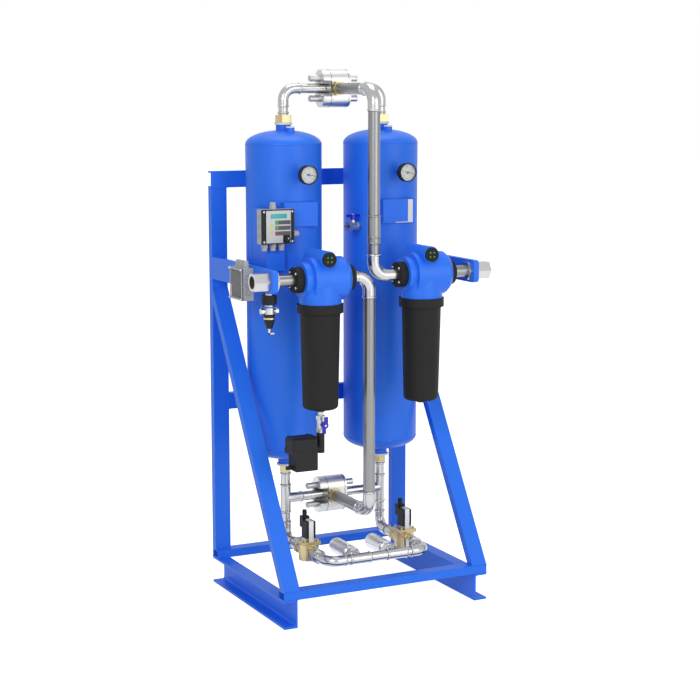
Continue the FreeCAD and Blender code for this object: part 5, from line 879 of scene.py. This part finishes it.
settle("barb_elbow", turned(elbow, 28), (reg_x + 1.0, reg_y, elbow_level), "right", zinc)

# Control box: a pale grey moulded box on a steel strip, with a black frame round a pale panel: a
# blue-green display, three dark rows with their lamps, two yellow keys and a rotary switch.
grey_plastic = coated("grey_plastic", (0.42, 0.425, 0.43), 0.5, edge=0.001, wear_and_highlight=0.2,
                      fine=(600.0, 1.0))
dress(grey_plastic, "control_box")
dress(black_plastic, "control_cover", "control_switch")


def slab(outline, thick, chamfer):
    """A plate of one outline, standing on its back, with its front edge eased."""
    shape = bmesh.new()
    low = shape.faces.new([shape.verts.new((x, y, 0)) for x, y in outline])
    grow = bmesh.ops.extrude_face_region(shape, geom=[low])
    tops = [v for v in grow["geom"] if isinstance(v, bmesh.types.BMVert)]
    bmesh.ops.translate(shape, verts=tops, vec=(0, 0, thick))
    rim = [e for e in shape.edges if all(v.co.z > thick * 0.5 for v in e.verts)]
    bmesh.ops.bevel(shape, geom=rim, offset=chamfer, segments=2, profile=0.5, affect="EDGES")
    mesh = bpy.data.meshes.new("slab")
    shape.to_mesh(mesh)
    shape.free()
    return mesh


panel_grey = coated("panel_grey", (0.56, 0.57, 0.575), 0.45, edge=0.0003, wear_and_highlight=0.1)
display = coated("display_glass", (0.0, 0.38, 0.34), 0.25, edge=0.0003, wear_and_highlight=0.0)
row_grey = coated("row_grey", (0.07, 0.07, 0.075), 0.5, edge=0.0003, wear_and_highlight=0.1)
red_mark = coated("red_mark", (0.50, 0.012, 0.012), 0.45, edge=0.0003, wear_and_highlight=0.05)
yellow_mark = coated("yellow_mark", (0.66, 0.60, 0.03), 0.5, edge=0.0003, wear_and_highlight=0.05)
cover_front, panel_low, panel_high, panel_left, panel_right = -75.0, 1307, 1419, -349, -256
notch_left, notch_right, notch_top = -285.5, -258.5, 1334
panel = [(panel_left, panel_high), (panel_left, panel_low), (notch_left, panel_low),
         (notch_left, notch_top), (notch_right, notch_top), (notch_right, panel_low),
         (panel_right, panel_low), (panel_right, panel_high)]
settle("control_panel", slab(panel, 0.5, 0.15), (0, cover_front, 0), "front", panel_grey)
settle("panel_display", slab(rounded(61, 16, 1.0), 0.5, 0.2), (-302, cover_front - 0.5, 1400),
       "front", display)
row_x, lamp_x, key_x = -286.5, -309, -330
rows = ((1378, green_mark), (1359, green_mark), (1340, red_mark))
for number, (level, lamp_finish) in enumerate(rows):
    settle("panel_row_%d" % (number + 1), slab(rounded(58, 14, 0.8), 0.4, 0.15),
           (row_x, cover_front - 0.5, level), "front", row_grey)
    settle("panel_lamp_%d" % (number + 1), slab(rounded(10, 10, 1.0), 0.6, 0.25),
           (lamp_x, cover_front - 0.9, level), "front", lamp_finish)
for number, level in enumerate((1369, 1346)):
    settle("panel_key_%d" % (number + 1), slab(rounded(12, 10, 4.5), 0.6, 0.3),
           (key_x, cover_front - 0.5, level), "front", yellow_mark)
screws("control_cover_screws", [(x, cover_front, z) for x in (-357, -250) for z in (1311, 1415)],
       "front", 3.6, 1.3, 2.0, 0.8, white_plastic)
box_left, box_middle, switch_dot = -367, -54, (-269, -85.1, 1322)
# Knock-outs on the box's side: thin dark rings that paint the shade in their grooves.
hoops("control_knock_out_shade", [(box_left, box_middle, level) for level in (1331, 1363, 1395)],
      "left", 9.0, 0.5, row_grey)
settle("switch_mark", turned([(0, 0), (2.4, 0), (2.4, 0.25), (2.0, 0.4), (0, 0.4)], 24), switch_dot,
       "front", white_plastic, "control_switch")

# Junction box: a grey moulded box on the left arm with a clear lid in a grey rim, the lid darkened
# as painted shade over the inside, four long lid screws with pale heads, three knock-outs at its
# front and glands on top.
dress(grey_plastic, "junction_box")
# A dark tint on the partly opaque lid paints the shade inside the box.
lid_shade_veil = clear_sheet("shade_darkened_lid", (0.10, 0.105, 0.11), 0.08, 0.20)
dress(lid_shade_veil, "junction_cover")
lid_x, lid_y, lid_z, junction_x, junction_front = -445.5, -29, 1168, -421.5, -83
screws("junction_screws", [(lid_x - 0.4, lid_y + deep, lid_z + lift) for deep in (-49, 49)
                           for lift in (-51, 51)],
       "left", 4.4, 5.5, 2.4, 1.2, bright_steel)
# The knock-outs' grooves are dark rings of painted shade.
hoops("junction_knock_out_shade", [(junction_x, junction_front, level) for level in (1139, 1165, 1192)],
      "front", 9.0, 0.7, row_grey)
settle("junction_lid_rim", band(rounded(107, 111, 3.0), rounded(93, 97, 3.0), -0.3, 0.5),
       (lid_x, lid_y, lid_z), "left", grey_plastic)

# Cable glands: grey moulded nuts screwed into both boxes, with fine ribs at the cable's end. They
# hold no cables, as in the photograph.
dress(grey_plastic, "cable_glands")
glands = [("up", (-315, box_middle, 1440)), ("right", (-226, box_middle, 1335))]
glands += [("down", (x, box_middle, 1286)) for x in (-347, -315, -283)]
glands += [("up", (junction_x, y, 1241)) for y in (-61, -29, 3)]
for number, (facing, place) in enumerate(glands):
    settle("gland_ribs_%d" % (number + 1),
           bars("gland_ribs", grey_plastic, 18, 9.0, 0, 20, 0.8, 1.1, 5.5), place, facing,
           grey_plastic)

# Sheet brackets: bent blue plates that carry the control box, the name plates and the regulator.
# The straps over the two coils are bent in the same way, but are left zinc-plated. The right name
# plate's pale edge is kept without its print.
bracket = coated("bracket_finish", bright_blue, 0.44, fine=(420.0, 0.6), wear_and_highlight=0.3, shine=0.3)
tree = bracket.node_tree
shader = tree.nodes["Principled BSDF"]
where = tree.nodes.new("ShaderNodeTexCoord")
height = tree.nodes.new("ShaderNodeSeparateXYZ")
is_strap = tree.nodes.new("ShaderNodeMath")
is_strap.operation = "LESS_THAN"
is_strap.inputs[1].default_value = 0.4
swap = tree.nodes.new("ShaderNodeMix")
swap.data_type = "RGBA"
swap.inputs["B"].default_value = (0.55, 0.56, 0.57, 1)
painted = shader.inputs["Base Color"].links[0].from_socket
tree.links.new(where.outputs["Object"], height.inputs[0])
tree.links.new(height.outputs["Z"], is_strap.inputs[0])
tree.links.new(is_strap.outputs[0], swap.inputs["Factor"])
tree.links.new(painted, swap.inputs["A"])
tree.links.new(swap.outputs["Result"], shader.inputs["Base Color"])
tree.links.new(is_strap.outputs[0], shader.inputs["Metallic"])
dress(bracket, "sheet_brackets")
plate_low, plate_high, plate_front = 1356.5, 1441.5, -30.5
strip_left, strip_right, line_left, line_width = 231, 251, 180, 3
edge = [(strip_right, plate_high - 2), (strip_left, plate_high - 2),
        (strip_left, plate_low + line_width), (line_left, plate_low + line_width),
        (line_left, plate_low), (strip_right, plate_low)]
settle("plate_edge_strip", slab(edge, 0.4, 0.1), (0, plate_front, 0), "front", white_plastic)
